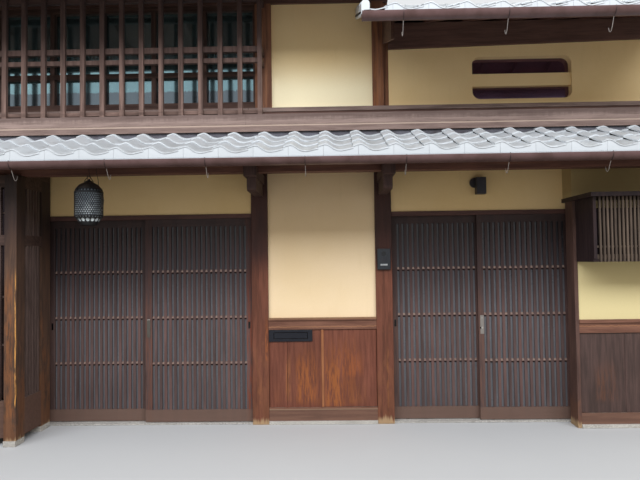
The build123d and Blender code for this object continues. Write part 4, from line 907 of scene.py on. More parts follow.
def lay_tiles(name, x_range, eave_y, run, eave_z, uphill, seed, courses=None, apron_from=None, step=None,
              slope=ROOF_PITCH, apron=APRON_BOTTOM):
    """Tiles over one slope: eave_y is the lower edge, run its depth in plan, uphill +1 or -1."""
    chance = random.Random(seed)
    points, faces, tones, hollows = [], [], [], []
    courses = courses or max(1, round(run / COURSE_STEP))
    step = step or run / courses
    first = math.floor((x_range[0] - FIRST_EDGE) / TILE_PITCH)
    last = math.ceil((x_range[1] - FIRST_EDGE) / TILE_PITCH)
    for course in range(courses):
        for column in range(first, last):
            left = FIRST_EDGE + column * TILE_PITCH
            shares = cut_shares(x_range, left, ACROSS)
            if shares[-1] - shares[0] < LEAST_WIDTH:
                continue
            tone, sink = chance.random(), chance.uniform(0.0, SHRINK)
            shift = chance.uniform(-SHRINK, SHRINK) if course else 0.0
            rows = []
            for back, drop in (*TILE_EDGE, (OVERLAP * step, 0.0)):
                reach = min(course * step + max(0.0, back + shift if back < 1 and course else back), run)
                share_up = back / step
                rows.append([(left + u * TILE_PITCH, eave_y + uphill * reach,
                              eave_z + slope * reach + wave(u) - sink - drop - NOSE * share_up) for u in shares])
            dents = [min(1.0, max(0.0, -wave(u) / WAVE_HEIGHT)) for u in shares]
            lay_strip(points, faces, tones, hollows, rows, 0.85 * tone, uphill, dents, rim_painted_highlight=RIM_PAINTED_HIGHLIGHT)
    seam = math.floor((x_range[0] - FIRST_SEAM) / TILE_PITCH)
    while FIRST_SEAM + seam * TILE_PITCH < x_range[1]:
        low_x = max(x_range[0], apron_from or x_range[0], FIRST_SEAM + seam * TILE_PITCH + HALF_JOINT)
        high_x = min(x_range[1], FIRST_SEAM + (seam + 1) * TILE_PITCH - HALF_JOINT)
        seam += 1
        if high_x - low_x < LEAST_WIDTH:
            continue
        spots = [low_x + (high_x - low_x) * index / APRON_SPANS for index in range(APRON_SPANS + 1)]
        edge = FIRST_EDGE + seam * TILE_PITCH
        spots = sorted(spots + [x for x in (edge - 0.001, edge + 0.001) if low_x < x < high_x])
        heights = [wave(((x - FIRST_EDGE) / TILE_PITCH) % 1.0) for x in spots]
        bottom = eave_z - apron
        rows = []
        for back, level in ((0.026, None), (0.005, None), *((back, bottom + rise) for back, rise in APRON_FACE)):
            rows.append([(x, eave_y + uphill * back, eave_z + height - APRON_TUCK if level is None else level)
                         for x, height in zip(spots, heights)])
        tone = 0.7 + 0.3 * chance.random()
        lay_strip(points, faces, tones, hollows, rows[::-1], tone, uphill, [0.0] * len(spots))
    return add_piece(name, points, faces, silver_tile, "roof_tile", tones=tones, hollows=hollows, smooth_angle=42)


print("tile layer ready")

# %% [markdown]
# ## The pent roof
#
# The low roof over the doors has four courses. They lie a little higher at the eave and a little flatter
# than the joiner's plain slab, so that their rims come where the real ones do.

# %% Tile the pent roof
PENT_EAVE = 2.350
PENT_LIFT = 0.012
PENT_COURSES, PENT_STEP, PENT_SLOPE = 4, 0.210, 0.385
pent_low, pent_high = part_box("pent_roof_tiles")
pent_tiles = lay_tiles("pent_tile_courses", (pent_low.x, pent_high.x), pent_low.y, pent_high.y - pent_low.y,
                       PENT_EAVE + PENT_LIFT, 1, 11, courses=PENT_COURSES, step=PENT_STEP, slope=PENT_SLOPE,
                       apron=APRON_BOTTOM + PENT_LIFT)
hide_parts("pent_roof_tiles")
print("pent roof faces", len(pent_tiles.data.polygons))

# %% [markdown]
# ## Mortar under the sill beam
#
# Where the top course meets the beam, the hollows between the tiles' humps are packed with grey mortar.
# Only its front shows, so one strip with a slightly leaning face, drawn out along the roof, is enough.

# %% Mortar along the beam
MORTAR_SECTION = ((-3.140, 2.520), (-3.136, 2.6058), (-3.060, 2.6058), (-3.060, 2.520))
MORTAR_INSET = 0.004
points = [(x, y, z) for x in (pent_low.x + MORTAR_INSET, pent_high.x - MORTAR_INSET) for y, z in MORTAR_SECTION]
faces = [(4, 5, 1, 0), (5, 6, 2, 1), (6, 7, 3, 2), (7, 4, 0, 3), (0, 1, 2, 3), (7, 6, 5, 4)]
add_piece("valley_mortar", points, faces, valley_clay, "roof_tile")
print("mortar corners", len(points))

# %% [markdown]
# ## The two main roofs
#
# The left roof is the higher one, and a wall closes the step between the two. In front of that wall the
# right roof's eave reaches a little further left. This tab, four courses deep, is a field of its own.

# %% Tile the two main roofs
LEFT_EAVE, RIGHT_EAVE = 3.825, 3.395
TAB_INSET, TAB_RIGHT, TAB_APRON_FROM = 0.060, 1.270, 1.145
TAB_COURSES = 4
left_low, left_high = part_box("left_roof_tiles")
right_low, right_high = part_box("right_roof_tiles")
front_run, rear_run = -left_low.y, left_high.y
front_step = front_run / round(front_run / COURSE_STEP)
rear_rise = ROOF_PITCH * (front_run - rear_run)
left_span, right_span = (left_low.x, left_high.x), (TAB_RIGHT, right_high.x)
left_front = lay_tiles("left_front_courses", left_span, left_low.y, front_run, LEFT_EAVE, 1, 21)
left_rear = lay_tiles("left_rear_courses", left_span, left_high.y, rear_run, LEFT_EAVE + rear_rise, -1, 22)
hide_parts("left_roof_tiles")
right_front = lay_tiles("right_front_courses", right_span, right_low.y, front_run, RIGHT_EAVE, 1, 31)
right_rear = lay_tiles("right_rear_courses", right_span, right_high.y, rear_run, RIGHT_EAVE + rear_rise, -1, 32)
lay_tiles("right_tab_courses", (right_low.x + TAB_INSET, TAB_RIGHT), right_low.y, TAB_COURSES * front_step,
          RIGHT_EAVE, 1, 33, courses=TAB_COURSES, apron_from=TAB_APRON_FROM)
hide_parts("right_roof_tiles")
print("main roof faces", sum(len(o.data.polygons) for o in (left_front, left_rear, right_front, right_rear)))

# %% [markdown]
# ## Boxes with soft edges
#
# Boards, slabs and small plates are boxes, but a real one has rubbed edges that catch light. One helper
# writes a box whose front edges are cut back by a small bevel, and adds it to lists, so that many boards
# end up in one mesh with one tone each.

# %% Bevelled box helper
def bevelled_box(points, faces, tones, low, high, cut, tone):
    x0, y0, z0 = low
    x1, y1, z1 = high
    start = len(points)
    points.extend([
        (x0, y1, z0), (x1, y1, z0), (x1, y1, z1), (x0, y1, z1),
        (x0, y0 + cut, z0), (x1, y0 + cut, z0), (x1, y0 + cut, z1), (x0, y0 + cut, z1),
        (x0 + cut, y0, z0 + cut), (x1 - cut, y0, z0 + cut), (x1 - cut, y0, z1 - cut), (x0 + cut, y0, z1 - cut)])
    for ring in ((0, 4), (4, 8)):
        for index in range(4):
            turn = (index + 1) % 4
            faces.append((start + ring[0] + index, start + ring[0] + turn,
                          start + ring[1] + turn, start + ring[1] + index))
            tones.append(tone)
    faces.append((start + 8, start + 9, start + 10, start + 11))
    faces.append((start + 3, start + 2, start + 1, start))
    tones.extend([tone, tone])


print("box helper ready")

# %% [markdown]
# ## The board dado
#
# Under the plaster the wall is closed with upright boards. The middle bay has three wide ones and a
# narrow strip that laps the last joint; the right bay has two, with a strip on their joint. The joiner's
# node is one plain sheet, so a mesh of single boards replaces it, with a dark joint between them and the
# letter opening left free.

# %% Board helpers
JOINT = 0.0015


def board(target, low_x, high_x, face_y, back_y, low_z, high_z, tone):
    bevelled_box(*target, (low_x + JOINT, face_y, low_z), (high_x - JOINT, back_y, high_z), 0.003, tone)


def notched_board(target, outline, face_y, back_y, tone):
    points, faces, tones = target
    start, count = len(points), len(outline)
    points.extend([(x, face_y, z) for x, z in outline] + [(x, back_y, z) for x, z in outline])
    faces.append(tuple(range(start, start + count)))
    faces.append(tuple(reversed(range(start + count, start + 2 * count))))
    for index in range(count):
        turn = (index + 1) % count
        faces.append((start + turn, start + index, start + count + index, start + count + turn))
    tones.extend([tone] * (count + 2))


print("board helpers ready")

# %% Boards between the doors
BOARD_BACK = -2.857
BOARD_FACES = (-2.9305, -2.932, -2.931)
BOARD_LEFT, BOARD_JOINTS, BOARD_RIGHT = 0.1465, (0.310, 0.625), 1.120
BOARD_FOOT, BOARD_HEAD = 0.148, 0.848
SLOT_X, SLOT_Z = (0.1845, 0.5025), (0.7575, 0.8275)
first, second, third = BOARD_JOINTS[0] - JOINT, BOARD_JOINTS[0] + JOINT, BOARD_JOINTS[1] - JOINT
middle = ([], [], [])
notched_board(middle, [(BOARD_LEFT, BOARD_FOOT), (first, BOARD_FOOT), (first, SLOT_Z[0]), (SLOT_X[0], SLOT_Z[0]),
                       (SLOT_X[0], SLOT_Z[1]), (first, SLOT_Z[1]), (first, BOARD_HEAD), (BOARD_LEFT, BOARD_HEAD)],
              BOARD_FACES[0], BOARD_BACK, 0.55)
notched_board(middle, [(second, BOARD_FOOT), (third, BOARD_FOOT), (third, BOARD_HEAD), (second, BOARD_HEAD),
                       (second, SLOT_Z[1]), (SLOT_X[1], SLOT_Z[1]), (SLOT_X[1], SLOT_Z[0]), (second, SLOT_Z[0])],
              BOARD_FACES[1], BOARD_BACK, 0.35)
board(middle, BOARD_JOINTS[1], BOARD_RIGHT, BOARD_FACES[2], BOARD_BACK, BOARD_FOOT, BOARD_HEAD, 0.7)
dado = add_piece("dado_boards", middle[0], middle[1], board_wood, "board_wood", tones=middle[2])
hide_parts("wall_boards")
lap = ([], [], [])
bevelled_box(*lap, (0.619, -2.9385, 0.150), (0.641, -2.9300, 0.846), 0.002, 0.5)
add_piece("dado_lap_strip", lap[0], lap[1], lap_wood_painted_highlight, "board_wood")
print("middle dado faces", len(middle[1]) + len(lap[1]))

# %% Boards of the right bay
RIGHT_FACE, RIGHT_BACK = -3.102, -3.027
right = ([], [], [])
for low_x, high_x, tone in ((2.858, 3.255, 0.35), (3.255, 3.730, 0.6)):
    board(right, low_x, high_x, RIGHT_FACE, RIGHT_BACK, 0.125, 0.812, tone)
board(right, 3.247, 3.264, -3.107, -3.098, 0.127, 0.810, 0.8)
add_piece("right_dado_boards", right[0], right[1], right_board_wood, "board_wood", tones=right[2])
print("right dado faces", len(right[1]))

# %% [markdown]
# ## Rods, rings and hooks
#
# Gutter hooks, the lantern's hoops and its handle are bent wire. A curve with a bevel would do, but a
# mesh tube exports as it is. The helper walks along the points and sets a ring of corners across each.

# %% Rod helper
def rod(points, faces, path, radius, sides=8, closed=False):
    count = len(path)
    start = len(points)
    path = [Vector(p) for p in path]
    for index, point in enumerate(path):
        before = path[(index - 1) % count] if closed or index else point
        after = path[(index + 1) % count] if closed or index < count - 1 else point
        ahead = (after - before).normalized()
        side = ahead.orthogonal().normalized() if index == 0 else (side - ahead * side.dot(ahead)).normalized()
        other = ahead.cross(side)
        for turn in range(sides):
            angle = 2 * math.pi * turn / sides
            points.append(tuple(point + radius * (math.cos(angle) * side + math.sin(angle) * other)))
    spans = count if closed else count - 1
    for index in range(spans):
        ring, following = start + index * sides, start + ((index + 1) % count) * sides
        for turn in range(sides):
            after_turn = (turn + 1) % sides
            faces.append((ring + turn, ring + after_turn, following + after_turn, following + turn))
    if not closed:
        faces.append(tuple(start + turn for turn in reversed(range(sides))))
        faces.append(tuple(start + (count - 1) * sides + turn for turn in range(sides)))


print("rod helper ready")

# %% [markdown]
# ## Hooks on the gutters
#
# Thin wires hold the gutters, about every 0.75 m. Each goes over the front rim, follows the belly of
# the gutter and hangs free below, its end bent back up. They stand where the real ones do. The wire is
# dark over the gutter and pale below, so it is laid in two lengths, each with its own finish.

# %% Gutter hooks
PENT_RIM_Z, PENT_FRONT = 2.248, -3.893
UPPER_RIM_Z, UPPER_FRONT = 3.293, -3.993
PENT_DROP, UPPER_DROP = 0.130, 0.150
WIRE = 0.0022
BELLY = ((2, 0.0548), (16, 0.0572), (32, 0.0592), (50, 0.0597), (68, 0.0597), (80, 0.0597))
over, below = ([], []), ([], [])


def gutter_hook(x, front_y, rim_z, drop):
    """Over the rim, down round the gutter's belly, then free below with a bend back up."""
    middle_y = front_y + 0.0575
    upper = [(x, front_y + 0.016, rim_z - 0.012), (x, front_y + 0.012, rim_z + 0.003),
             (x, front_y + 0.005, rim_z + 0.0045)]
    for degrees, reach in BELLY:
        angle = math.radians(degrees)
        upper.append((x, middle_y - reach * math.cos(angle), rim_z - 0.002 - reach * math.sin(angle)))
    lower = [upper[-1], (x, middle_y + 0.004, rim_z - drop * 0.62), (x, middle_y + 0.020, rim_z - drop * 0.86),
             (x, middle_y + 0.034, rim_z - drop), (x, middle_y + 0.050, rim_z - drop - 0.004),
             (x, middle_y + 0.066, rim_z - drop + 0.008), (x, middle_y + 0.074, rim_z - drop + 0.036)]
    rod(*over, upper, WIRE, 6)
    rod(*below, lower, WIRE, 6)


for x in (-1.696, -0.970, -0.215, 0.534, 1.290, 2.055, 2.808):
    gutter_hook(x, PENT_FRONT, PENT_RIM_Z, PENT_DROP)
for x in (1.274, 2.042, 2.811):
    gutter_hook(x, UPPER_FRONT, UPPER_RIM_Z, UPPER_DROP)
add_piece("hooks_over_gutter", *over, dark_wire, "black_metal", smooth_angle=40)
add_piece("hooks_below_gutter", *below, pale_wire, "black_metal", smooth_angle=40)
print("hook faces", len(over[1]) + len(below[1]))

# %% [markdown]
# ## Cross rails of the doors
#
# Behind the door bars run three thin rails that tie the bars together. From the lane each shows only in
# the gaps, as a pale line over a nearly black one, because its top slopes forward and its underside
# is in shade. So each rail is a small wedge: its upper faces take a pale wood, dusty and with painted light,
# and its lower faces a nearly black wood, a painted shadow. The wedges ride on the panels and slide with them.

# %% Door cross rails
DOOR_FACES = {"door_1_left": -2.864, "door_1_right": -2.908, "door_2_left": -2.864, "door_2_right": -2.908}
RAIL_HEIGHTS = (0.540, 0.957, 1.378)
WEDGE = ((0.0185, 0.020), (0.0065, 0.004), (0.0065, -0.001), (0.0185, -0.017))
PAINTED_SHADOW_SIDES = (2, 3)
for door, face_y in DOOR_FACES.items():
    glass_low, glass_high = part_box(f"{door}_glass")
    points, faces, painted_shadow_faces = [], [], []
    for middle_z in RAIL_HEIGHTS:
        start = len(points)
        for x in (glass_low.x, glass_high.x):
            points.extend((x, face_y + back, middle_z + rise) for back, rise in WEDGE)
        for index in range(4):
            turn = (index + 1) % 4
            # The underside and the back of each wedge take the painted shadow wood.
            if index in PAINTED_SHADOW_SIDES:
                painted_shadow_faces.append(len(faces))
            faces.append((start + index, start + turn, start + 4 + turn, start + 4 + index))
        faces.append((start + 3, start + 2, start + 1, start))
        faces.append((start + 4, start + 5, start + 6, start + 7))
    add_piece(f"{door}_cross_rails", points, faces, dusty_ledge_wood_painted_light, "door_wood", body=door,
              second=painted_shadow_wood, second_faces=painted_shadow_faces)
print("cross rails", len(DOOR_FACES) * len(RAIL_HEIGHTS))

# %% [markdown]
# ## Ridges
#
# A ridge is built up from flat courses laid in clay, each a little narrower, under a row of round cap
# tiles with a collar at each joint. A single swept shape would lose the joints, so short tiles are laid
# one after the other, each with its own tone.

# %% Ridge tiles
CAP_LENGTH = 0.30
CAP_SIDES = 10
CAP_RADIUS, COLLAR_RADIUS, COLLAR = 0.070, 0.078, 0.035


def lay_ridge(name, low, high, base_z, seed):
    chance = random.Random(seed)
    points, faces, tones = [], [], []
    length = high.x - low.x
    count = round(length / CAP_LENGTH)
    layers = ((0.118, low.z, base_z + 0.035), (0.110, base_z + 0.038, base_z + 0.062),
              (0.102, base_z + 0.065, base_z + 0.089), (0.094, base_z + 0.092, base_z + 0.116))
    for level, (half, foot, head) in enumerate(layers):
        offset = 0.5 * (level % 2)
        for index in range(-1, count + 1):
            start = low.x + max(0.0, (index + offset) * length / count) + 0.001
            end = low.x + min(length, (index + 1 + offset) * length / count) - 0.001
            if end - start > 0.02:
                bevelled_box(points, faces, tones, (start, -half, foot), (end, half, head), 0.004, chance.random())
    ring = CAP_SIDES
    for index in range(count):
        tone = chance.random()
        start = low.x + index * length / count
        end = low.x + (index + 1) * length / count
        stations = ((start, COLLAR_RADIUS), (start + COLLAR, COLLAR_RADIUS), (start + 0.036, CAP_RADIUS),
                    (end, CAP_RADIUS))
        first = len(points)
        for x, radius in stations:
            for turn in range(ring + 1):
                angle = math.pi * turn / ring
                rise = (high.z - base_z - 0.118) * radius / COLLAR_RADIUS
                points.append((x, -radius * math.cos(angle), base_z + 0.117 + rise * math.sin(angle)))
        for station in range(len(stations) - 1):
            for turn in range(ring):
                corner = first + station * (ring + 1) + turn
                faces.append((corner, corner + ring + 1, corner + ring + 2, corner + 1))
                tones.append(tone)
        for station, flip in ((0, False), (len(stations) - 1, True)):
            edge = [first + station * (ring + 1) + turn for turn in range(ring + 1)]
            faces.append(tuple(edge[::-1] if flip else edge))
            tones.append(tone)
    hollows = [0.0] * len(points)
    return add_piece(name, points, faces, silver_tile, "roof_tile", tones=tones, hollows=hollows, smooth_angle=35)


EAVE_TO_PEAK = 3.9
RIDGE_SEAT, RIDGE_HEIGHT = 0.048, 0.19
LEFT_PEAK, RIGHT_PEAK = LEFT_EAVE + ROOF_PITCH * EAVE_TO_PEAK, RIGHT_EAVE + ROOF_PITCH * EAVE_TO_PEAK
left_ridge = lay_ridge("left_ridge_courses", Vector((left_low.x, 0, LEFT_PEAK - RIDGE_SEAT)),
                       Vector((left_high.x, 0, LEFT_PEAK + RIDGE_HEIGHT)), LEFT_PEAK, 41)
right_ridge = lay_ridge("right_ridge_courses", Vector((TAB_RIGHT, 0, RIGHT_PEAK - RIDGE_SEAT)),
                        Vector((right_high.x, 0, RIGHT_PEAK + RIDGE_HEIGHT)), RIGHT_PEAK, 42)
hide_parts("roof_ridges")
print("ridge faces", len(left_ridge.data.polygons) + len(right_ridge.data.polygons))

# %% [markdown]
# ## Verge tiles
#
# Where a roof ends over a gable or beside a higher wall, a row of verge tiles closes it: a half-round
# roll on top and a flat flap hanging down over the boards' edge. They step with the courses.

# %% Verge tiles
ROLL_SIDES = 8
ROLL_WIDTH = 0.09


def lay_verge(name, edge_x, inward, eave_y, run, eave_z, uphill, flap, seed, wide=ROLL_WIDTH):
    chance = random.Random(seed)
    points, faces, tones = [], [], []
    courses = max(1, round(run / COURSE_STEP))
    step = run / courses
    ring = ROLL_SIDES
    for course in range(courses):
        tone = 0.4 + 0.6 * chance.random()
        stations = []
        for far, lift in ((0.0, 0.004), (1.0, -0.008)):
            reach = (course + far) * step
            stations.append((eave_y + uphill * reach, eave_z + ROOF_PITCH * reach + lift))
        first = len(points)
        for y, z in stations:
            points.append((edge_x, y, z - flap))
            for turn in range(ring + 1):
                angle = math.pi * turn / ring
                points.append((edge_x + inward * wide / 2 * (1 - math.cos(angle)), y,
                               z - 0.012 + wide / 2 * math.sin(angle)))
            points.append((edge_x + inward * wide, y, z - 0.060))
            points.append((edge_x + inward * 0.020, y, z - 0.060))
            points.append((edge_x + inward * 0.020, y, z - flap))
        width = ring + 5
        for index in range(width):
            turn = (index + 1) % width
            face = (first + index, first + turn, first + width + turn, first + width + index)
            faces.append(face if uphill * inward > 0 else face[::-1])
            tones.append(tone)
        for station, flip in ((0, True), (1, False)):
            edge = [first + station * width + index for index in range(width)]
            faces.append(tuple(edge[::-1] if flip == (uphill * inward > 0) else edge))
            tones.append(tone)
    hollows = [0.0] * len(points)
    return add_piece(name, points, faces, silver_tile, "roof_tile", tones=tones, hollows=hollows, smooth_angle=35)


print("verge helper ready")

# %% Close the roofs' edges
UNDER_RIDGE = 0.12
PENT_RUN = 0.62
STEP_FLAP, END_FLAP, TAB_FLAP = 0.080, 0.064, 0.094
TAB_ROLL_WIDTH = 0.062
front_reach, rear_reach = front_run - UNDER_RIDGE, rear_run - UNDER_RIDGE
left_rear_eave, right_rear_eave = LEFT_EAVE + rear_rise, RIGHT_EAVE + rear_rise
verges = []
for name, edge_x, inward, eave_y, run, eave_z, uphill, flap, wide in (
        ("left_front_verge", left_high.x, -1, left_low.y, front_reach, LEFT_EAVE, 1, STEP_FLAP, ROLL_WIDTH),
        ("left_rear_verge", left_high.x, -1, left_high.y, rear_reach, left_rear_eave, -1, STEP_FLAP, ROLL_WIDTH),
        ("left_end_front_verge", left_low.x, 1, left_low.y, front_reach, LEFT_EAVE, 1, END_FLAP, ROLL_WIDTH),
        ("left_end_rear_verge", left_low.x, 1, left_high.y, rear_reach, left_rear_eave, -1, END_FLAP, ROLL_WIDTH),
        ("right_end_front_verge", right_high.x, -1, right_low.y, front_reach, RIGHT_EAVE, 1, END_FLAP, ROLL_WIDTH),
        ("right_end_rear_verge", right_high.x, -1, right_high.y, rear_reach, right_rear_eave, -1, END_FLAP,
         ROLL_WIDTH),
        ("tab_verge", right_low.x, 1, right_low.y, TAB_COURSES * front_step, RIGHT_EAVE, 1, TAB_FLAP,
         TAB_ROLL_WIDTH),
        ("pent_left_verge", pent_low.x, 1, pent_low.y, PENT_RUN, PENT_EAVE, 1, END_FLAP, ROLL_WIDTH),
        ("pent_right_verge", pent_high.x, -1, pent_low.y, PENT_RUN, PENT_EAVE, 1, END_FLAP, ROLL_WIDTH)):
    verges.append(lay_verge(name, edge_x, inward, eave_y, run, eave_z, uphill, flap, 50 + len(verges), wide))
print("verges", len(verges), "faces", sum(len(o.data.polygons) for o in verges))

# %% [markdown]
# ## Painted shade in the last gap of the lower roof
#
# Between the tab's verge tile and its first full apron the real roof shows a dark hollow. A thin dark
# plate, set back behind the tiles' faces, closes the gap: it is painted shade for that hollow.

# %% Painted shade in the gap
points, faces, tones = [], [], []
bevelled_box(points, faces, tones, (right_low.x + 0.040, right_low.y + 0.016, RIGHT_EAVE - 0.094),
             (1.150, right_low.y + 0.024, RIGHT_EAVE - 0.040), 0.001, 0.5)
clay = add_piece("painted_shade_clay", points, faces, painted_shade_clay, "roof_tile")
print("clay plate", [round(v, 3) for v in clay.dimensions])

# %% [markdown]
# ## The pierced lantern
#
# The lantern under the eave is thin iron, pierced all over with a fine net of six-sided holes, with two
# rows of openings at its foot, the lower one tall, and one row around its dome. A texture with
# transparency would look right only from afar, so the holes are real: the sheet is laid out as cells,
# each cell gets a hole, and the flat net is wrapped round the lantern's profile.

# %% Wrap a net of holes round the lantern
LANTERN_X, LANTERN_Y = -1.232, -3.550
BODY_RADIUS = 0.1105
KEY_STEPS = 12
HEXAGON = [(dx, dz, dx, dz) for dx, dz in ((0.5, -1 / 3), (0.5, 1 / 3), (0.0, 2 / 3), (-0.5, 1 / 3),
                                           (-0.5, -1 / 3), (0.0, -2 / 3))]
OVAL = [(dx, dz, dx * trim, dz * trim) for dx, dz, trim in
        ((0.5, -0.5, 0.72), (0.5, 0.0, 1.0), (0.5, 0.5, 0.72), (0.0, 0.5, 1.0), (-0.5, 0.5, 0.72), (-0.5, 0.0, 1.0),
         (-0.5, -0.5, 0.72), (0.0, -0.5, 1.0))]


def pierced_net(points, faces, columns, rows, low_z, high_z, radius_at, share, cell=HEXAGON):
    """Cells with holes, wrapped round the lantern between two heights."""
    pitch = 2 * math.pi / columns
    rise = (high_z - low_z) / rows
    seen = {}

    def spot(angle, height):
        z = min(high_z, max(low_z, low_z + height))
        points.append((LANTERN_X + radius_at(z) * math.cos(angle), LANTERN_Y + radius_at(z) * math.sin(angle), z))
        return len(points) - 1

    for row in range(rows):
        for column in range(columns):
            middle_angle = (column + (0.5 * (row % 2) if cell is HEXAGON else 0.0)) * pitch
            middle_height = (row + 0.5) * rise
            ring, hole = [], []
            for dx, dz, hole_dx, hole_dz in cell:
                angle, height = middle_angle + dx * pitch, middle_height + dz * rise
                key = (round(angle / pitch * KEY_STEPS) % (columns * KEY_STEPS), round(height / rise * KEY_STEPS))
                if key not in seen:
                    seen[key] = spot(angle, height)
                ring.append(seen[key])
                hole.append(spot(middle_angle + share * hole_dx * pitch, middle_height + share * hole_dz * rise))
            for index in range(len(cell)):
                turn = (index + 1) % len(cell)
                faces.append((ring[index], ring[turn], hole[turn], hole[index]))


def hoop(points, faces, profile, sides=54):
    """A solid turned ring: the profile's radius and height pairs go round the lantern."""
    start = len(points)
    for radius, z in profile:
        for turn in range(sides):
            angle = 2 * math.pi * turn / sides
            points.append((LANTERN_X + radius * math.cos(angle), LANTERN_Y + radius * math.sin(angle), z))
    for level in range(len(profile)):
        following = (level + 1) % len(profile)
        for turn in range(sides):
            after = (turn + 1) % sides
            faces.append((start + level * sides + turn, start + level * sides + after,
                          start + following * sides + after, start + following * sides + turn))


print("net helper ready")

# %% [markdown]
# ## The lantern's shell
#
# The body is a plain drum, the foot narrows like a bowl, and the dome closes it. Two hoops hold the net,
# a turned rim and a knob finish it, and a pale liner stands just inside the holes as painted light, so that
# the lantern looks lit from behind; its head is darker with painted shade. The net is a single layer of
# faces; a Solidify modifier gives it its thickness.

# %% The lantern's profile
DOME = ((0.1105, 2.046), (0.1005, 2.073), (0.0725, 2.106), (0.0290, 2.128), (0.0095, 2.134))
FOOT_RADIUS, FOOT_BOTTOM, FOOT_HEIGHT = 0.060, 1.782, 0.070
SHEET = 0.0014


def dome_radius(z):
    for (low_r, low_z), (high_r, high_z) in zip(DOME, DOME[1:]):
        if z <= high_z:
            return low_r + (high_r - low_r) * max(0.0, z - low_z) / (high_z - low_z)
    return DOME[-1][0]


def foot_radius(z):
    return FOOT_RADIUS + (BODY_RADIUS - FOOT_RADIUS) * min(1.0, max(0.0, z - FOOT_BOTTOM) / FOOT_HEIGHT)


print("lantern across", round(2 * BODY_RADIUS, 3))

# %% Build the lantern
points, faces = [], []
pierced_net(points, faces, 38, 11, 1.860, 2.038, lambda z: BODY_RADIUS, 0.64)
pierced_net(points, faces, 28, 1, 1.838, 1.854, foot_radius, 0.66, OVAL)
pierced_net(points, faces, 15, 1, 1.804, 1.838, foot_radius, 0.84, OVAL)
pierced_net(points, faces, 26, 1, 2.048, 2.071, dome_radius, 0.55, OVAL)
net = add_piece("lantern_net", points, faces, lantern_iron, "lantern_iron")
shell = net.modifiers.new("Sheet", "SOLIDIFY")
shell.thickness = SHEET
shell.offset = -1.0
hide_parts("lantern")
points, faces = [], []
for low_z, high_z, radius in ((1.852, 1.862, 0.1115), (2.036, 2.049, 0.1115)):
    hoop(points, faces, ((radius - 0.004, low_z), (radius, low_z + 0.002), (radius, high_z - 0.002),
                         (radius - 0.004, high_z)))
hoop(points, faces, ((0.056, 1.780), (0.0605, 1.782), (0.0765, 1.805), (0.0745, 1.806), (0.056, 1.786)))
hoop(points, faces, ((0.0985, 2.069), (0.1015, 2.072), (0.0735, 2.106), (0.0300, 2.1285), (0.0100, 2.1345),
                     (0.0080, 2.132), (0.0290, 2.125), (0.0715, 2.102)))
hoop(points, faces, ((0.026, 2.1275), (0.030, 2.132), (0.026, 2.137), (0.013, 2.141), (0.012, 2.149),
                     (0.006, 2.153), (0.002, 2.153), (0.002, 2.1275)), 18)
hoops = add_piece("lantern_hoops", points, faces, lantern_iron, "lantern_iron", smooth_angle=40)
# The liner is painted light behind the holes.
points, faces = [], []
hoop(points, faces, ((0.1030, 1.858), (0.1030, 2.047), (0.0930, 2.070), (0.0910, 2.070), (0.1010, 2.045),
                     (0.1010, 1.858), (0.0700, 1.805), (0.0720, 1.803)), 40)
liner = add_piece("lantern_liner", points, faces, painted_light_liner, "lantern_iron", smooth_angle=40)
print("lantern faces", len(net.data.polygons) + len(hoops.data.polygons) + len(liner.data.polygons))

# %% [markdown]
# ## What the lantern hangs by
#
# A wire comes down from the boards of the roof and ends in a hook. The hook holds a ring, and the ring a
# bent yoke on the dome. A handle hangs at the side, and a thin line runs up beside the wire. They are
# thin and stiff, so each is a rod along its own points, all joined in one mesh.

# %% Hang the lantern
HANGER_TOP = 2.3665
RING_MIDDLE, RING_SPOTS = 2.166, 16


def beside(path, deeper=0.0):
    """Points given as X and Z from the lantern's middle line, in the house's own frame."""
    return [(LANTERN_X + dx, LANTERN_Y + deeper, z) for dx, z in path]


points, faces = [], []
ring_turns = [2 * math.pi * turn / RING_SPOTS for turn in range(RING_SPOTS)]
rod(points, faces, beside([(0.013 * math.sin(turn), RING_MIDDLE - 0.014 * math.cos(turn)) for turn in ring_turns]),
    0.0022, 6, closed=True)
hook_path = beside(((-0.010, 2.184), (-0.006, 2.177), (0.0, 2.1765), (0.008, 2.183), (0.009, 2.193),
                    (0.002, 2.204), (0.0, 2.220), (0.0, HANGER_TOP)))
rod(points, faces, hook_path, 0.0024, 8)
for side in (-1, 1):
    yoke = [(LANTERN_X + side * 0.038, LANTERN_Y - 0.004, 2.123), (LANTERN_X + side * 0.034, LANTERN_Y - 0.004, 2.138),
            (LANTERN_X + side * 0.018, LANTERN_Y - 0.003, 2.160), (LANTERN_X, LANTERN_Y, 2.180)]
    rod(points, faces, yoke, 0.0026, 6)
handle = beside(((0.1080, 2.036), (0.1150, 2.030), (0.1220, 2.010), (0.1250, 1.980), (0.1215, 1.940),
                 (0.1130, 1.918), (0.1080, 1.914)), -0.010)
rod(points, faces, handle, 0.0024, 6)
thin_line = beside(((0.0780, 2.100), (0.0740, 2.150), (0.0600, 2.215), (0.0580, 2.290), (0.0580, HANGER_TOP)), 0.002)
rod(points, faces, thin_line, 0.0020, 6)
add_piece("lantern_hanger", points, faces, dark_wire, "black_metal", smooth_angle=40)
print("hanger top", round(HANGER_TOP, 3))

# %% [markdown]
# ## The small fittings of the doors
#
# A lock plate of bright steel sits on the meeting stile of the second door, and an older brass one on the
# first. Each outer stile has a dark finger pull let into it. All are small but catch the eye, so each
# gets its own little mesh, set on the face of the panel that carries it.

# %% Lock plate and door pulls
LOCK_HEIGHT = 0.842
PULL_LOW, PULL_HIGH, PULL_HALF = 0.8572, 0.9188, 0.0088


def thin_plate(name, x_range, z_range, face_y, finish, body):
    points, faces, tones = [], [], []
    bevelled_box(points, faces, tones, (x_range[0], face_y - 0.0030, z_range[0]),
                 (x_range[1], face_y + 0.0005, z_range[1]), 0.0012, 0.5)
    return add_piece(name, points, faces, finish, "black_metal", body=body)


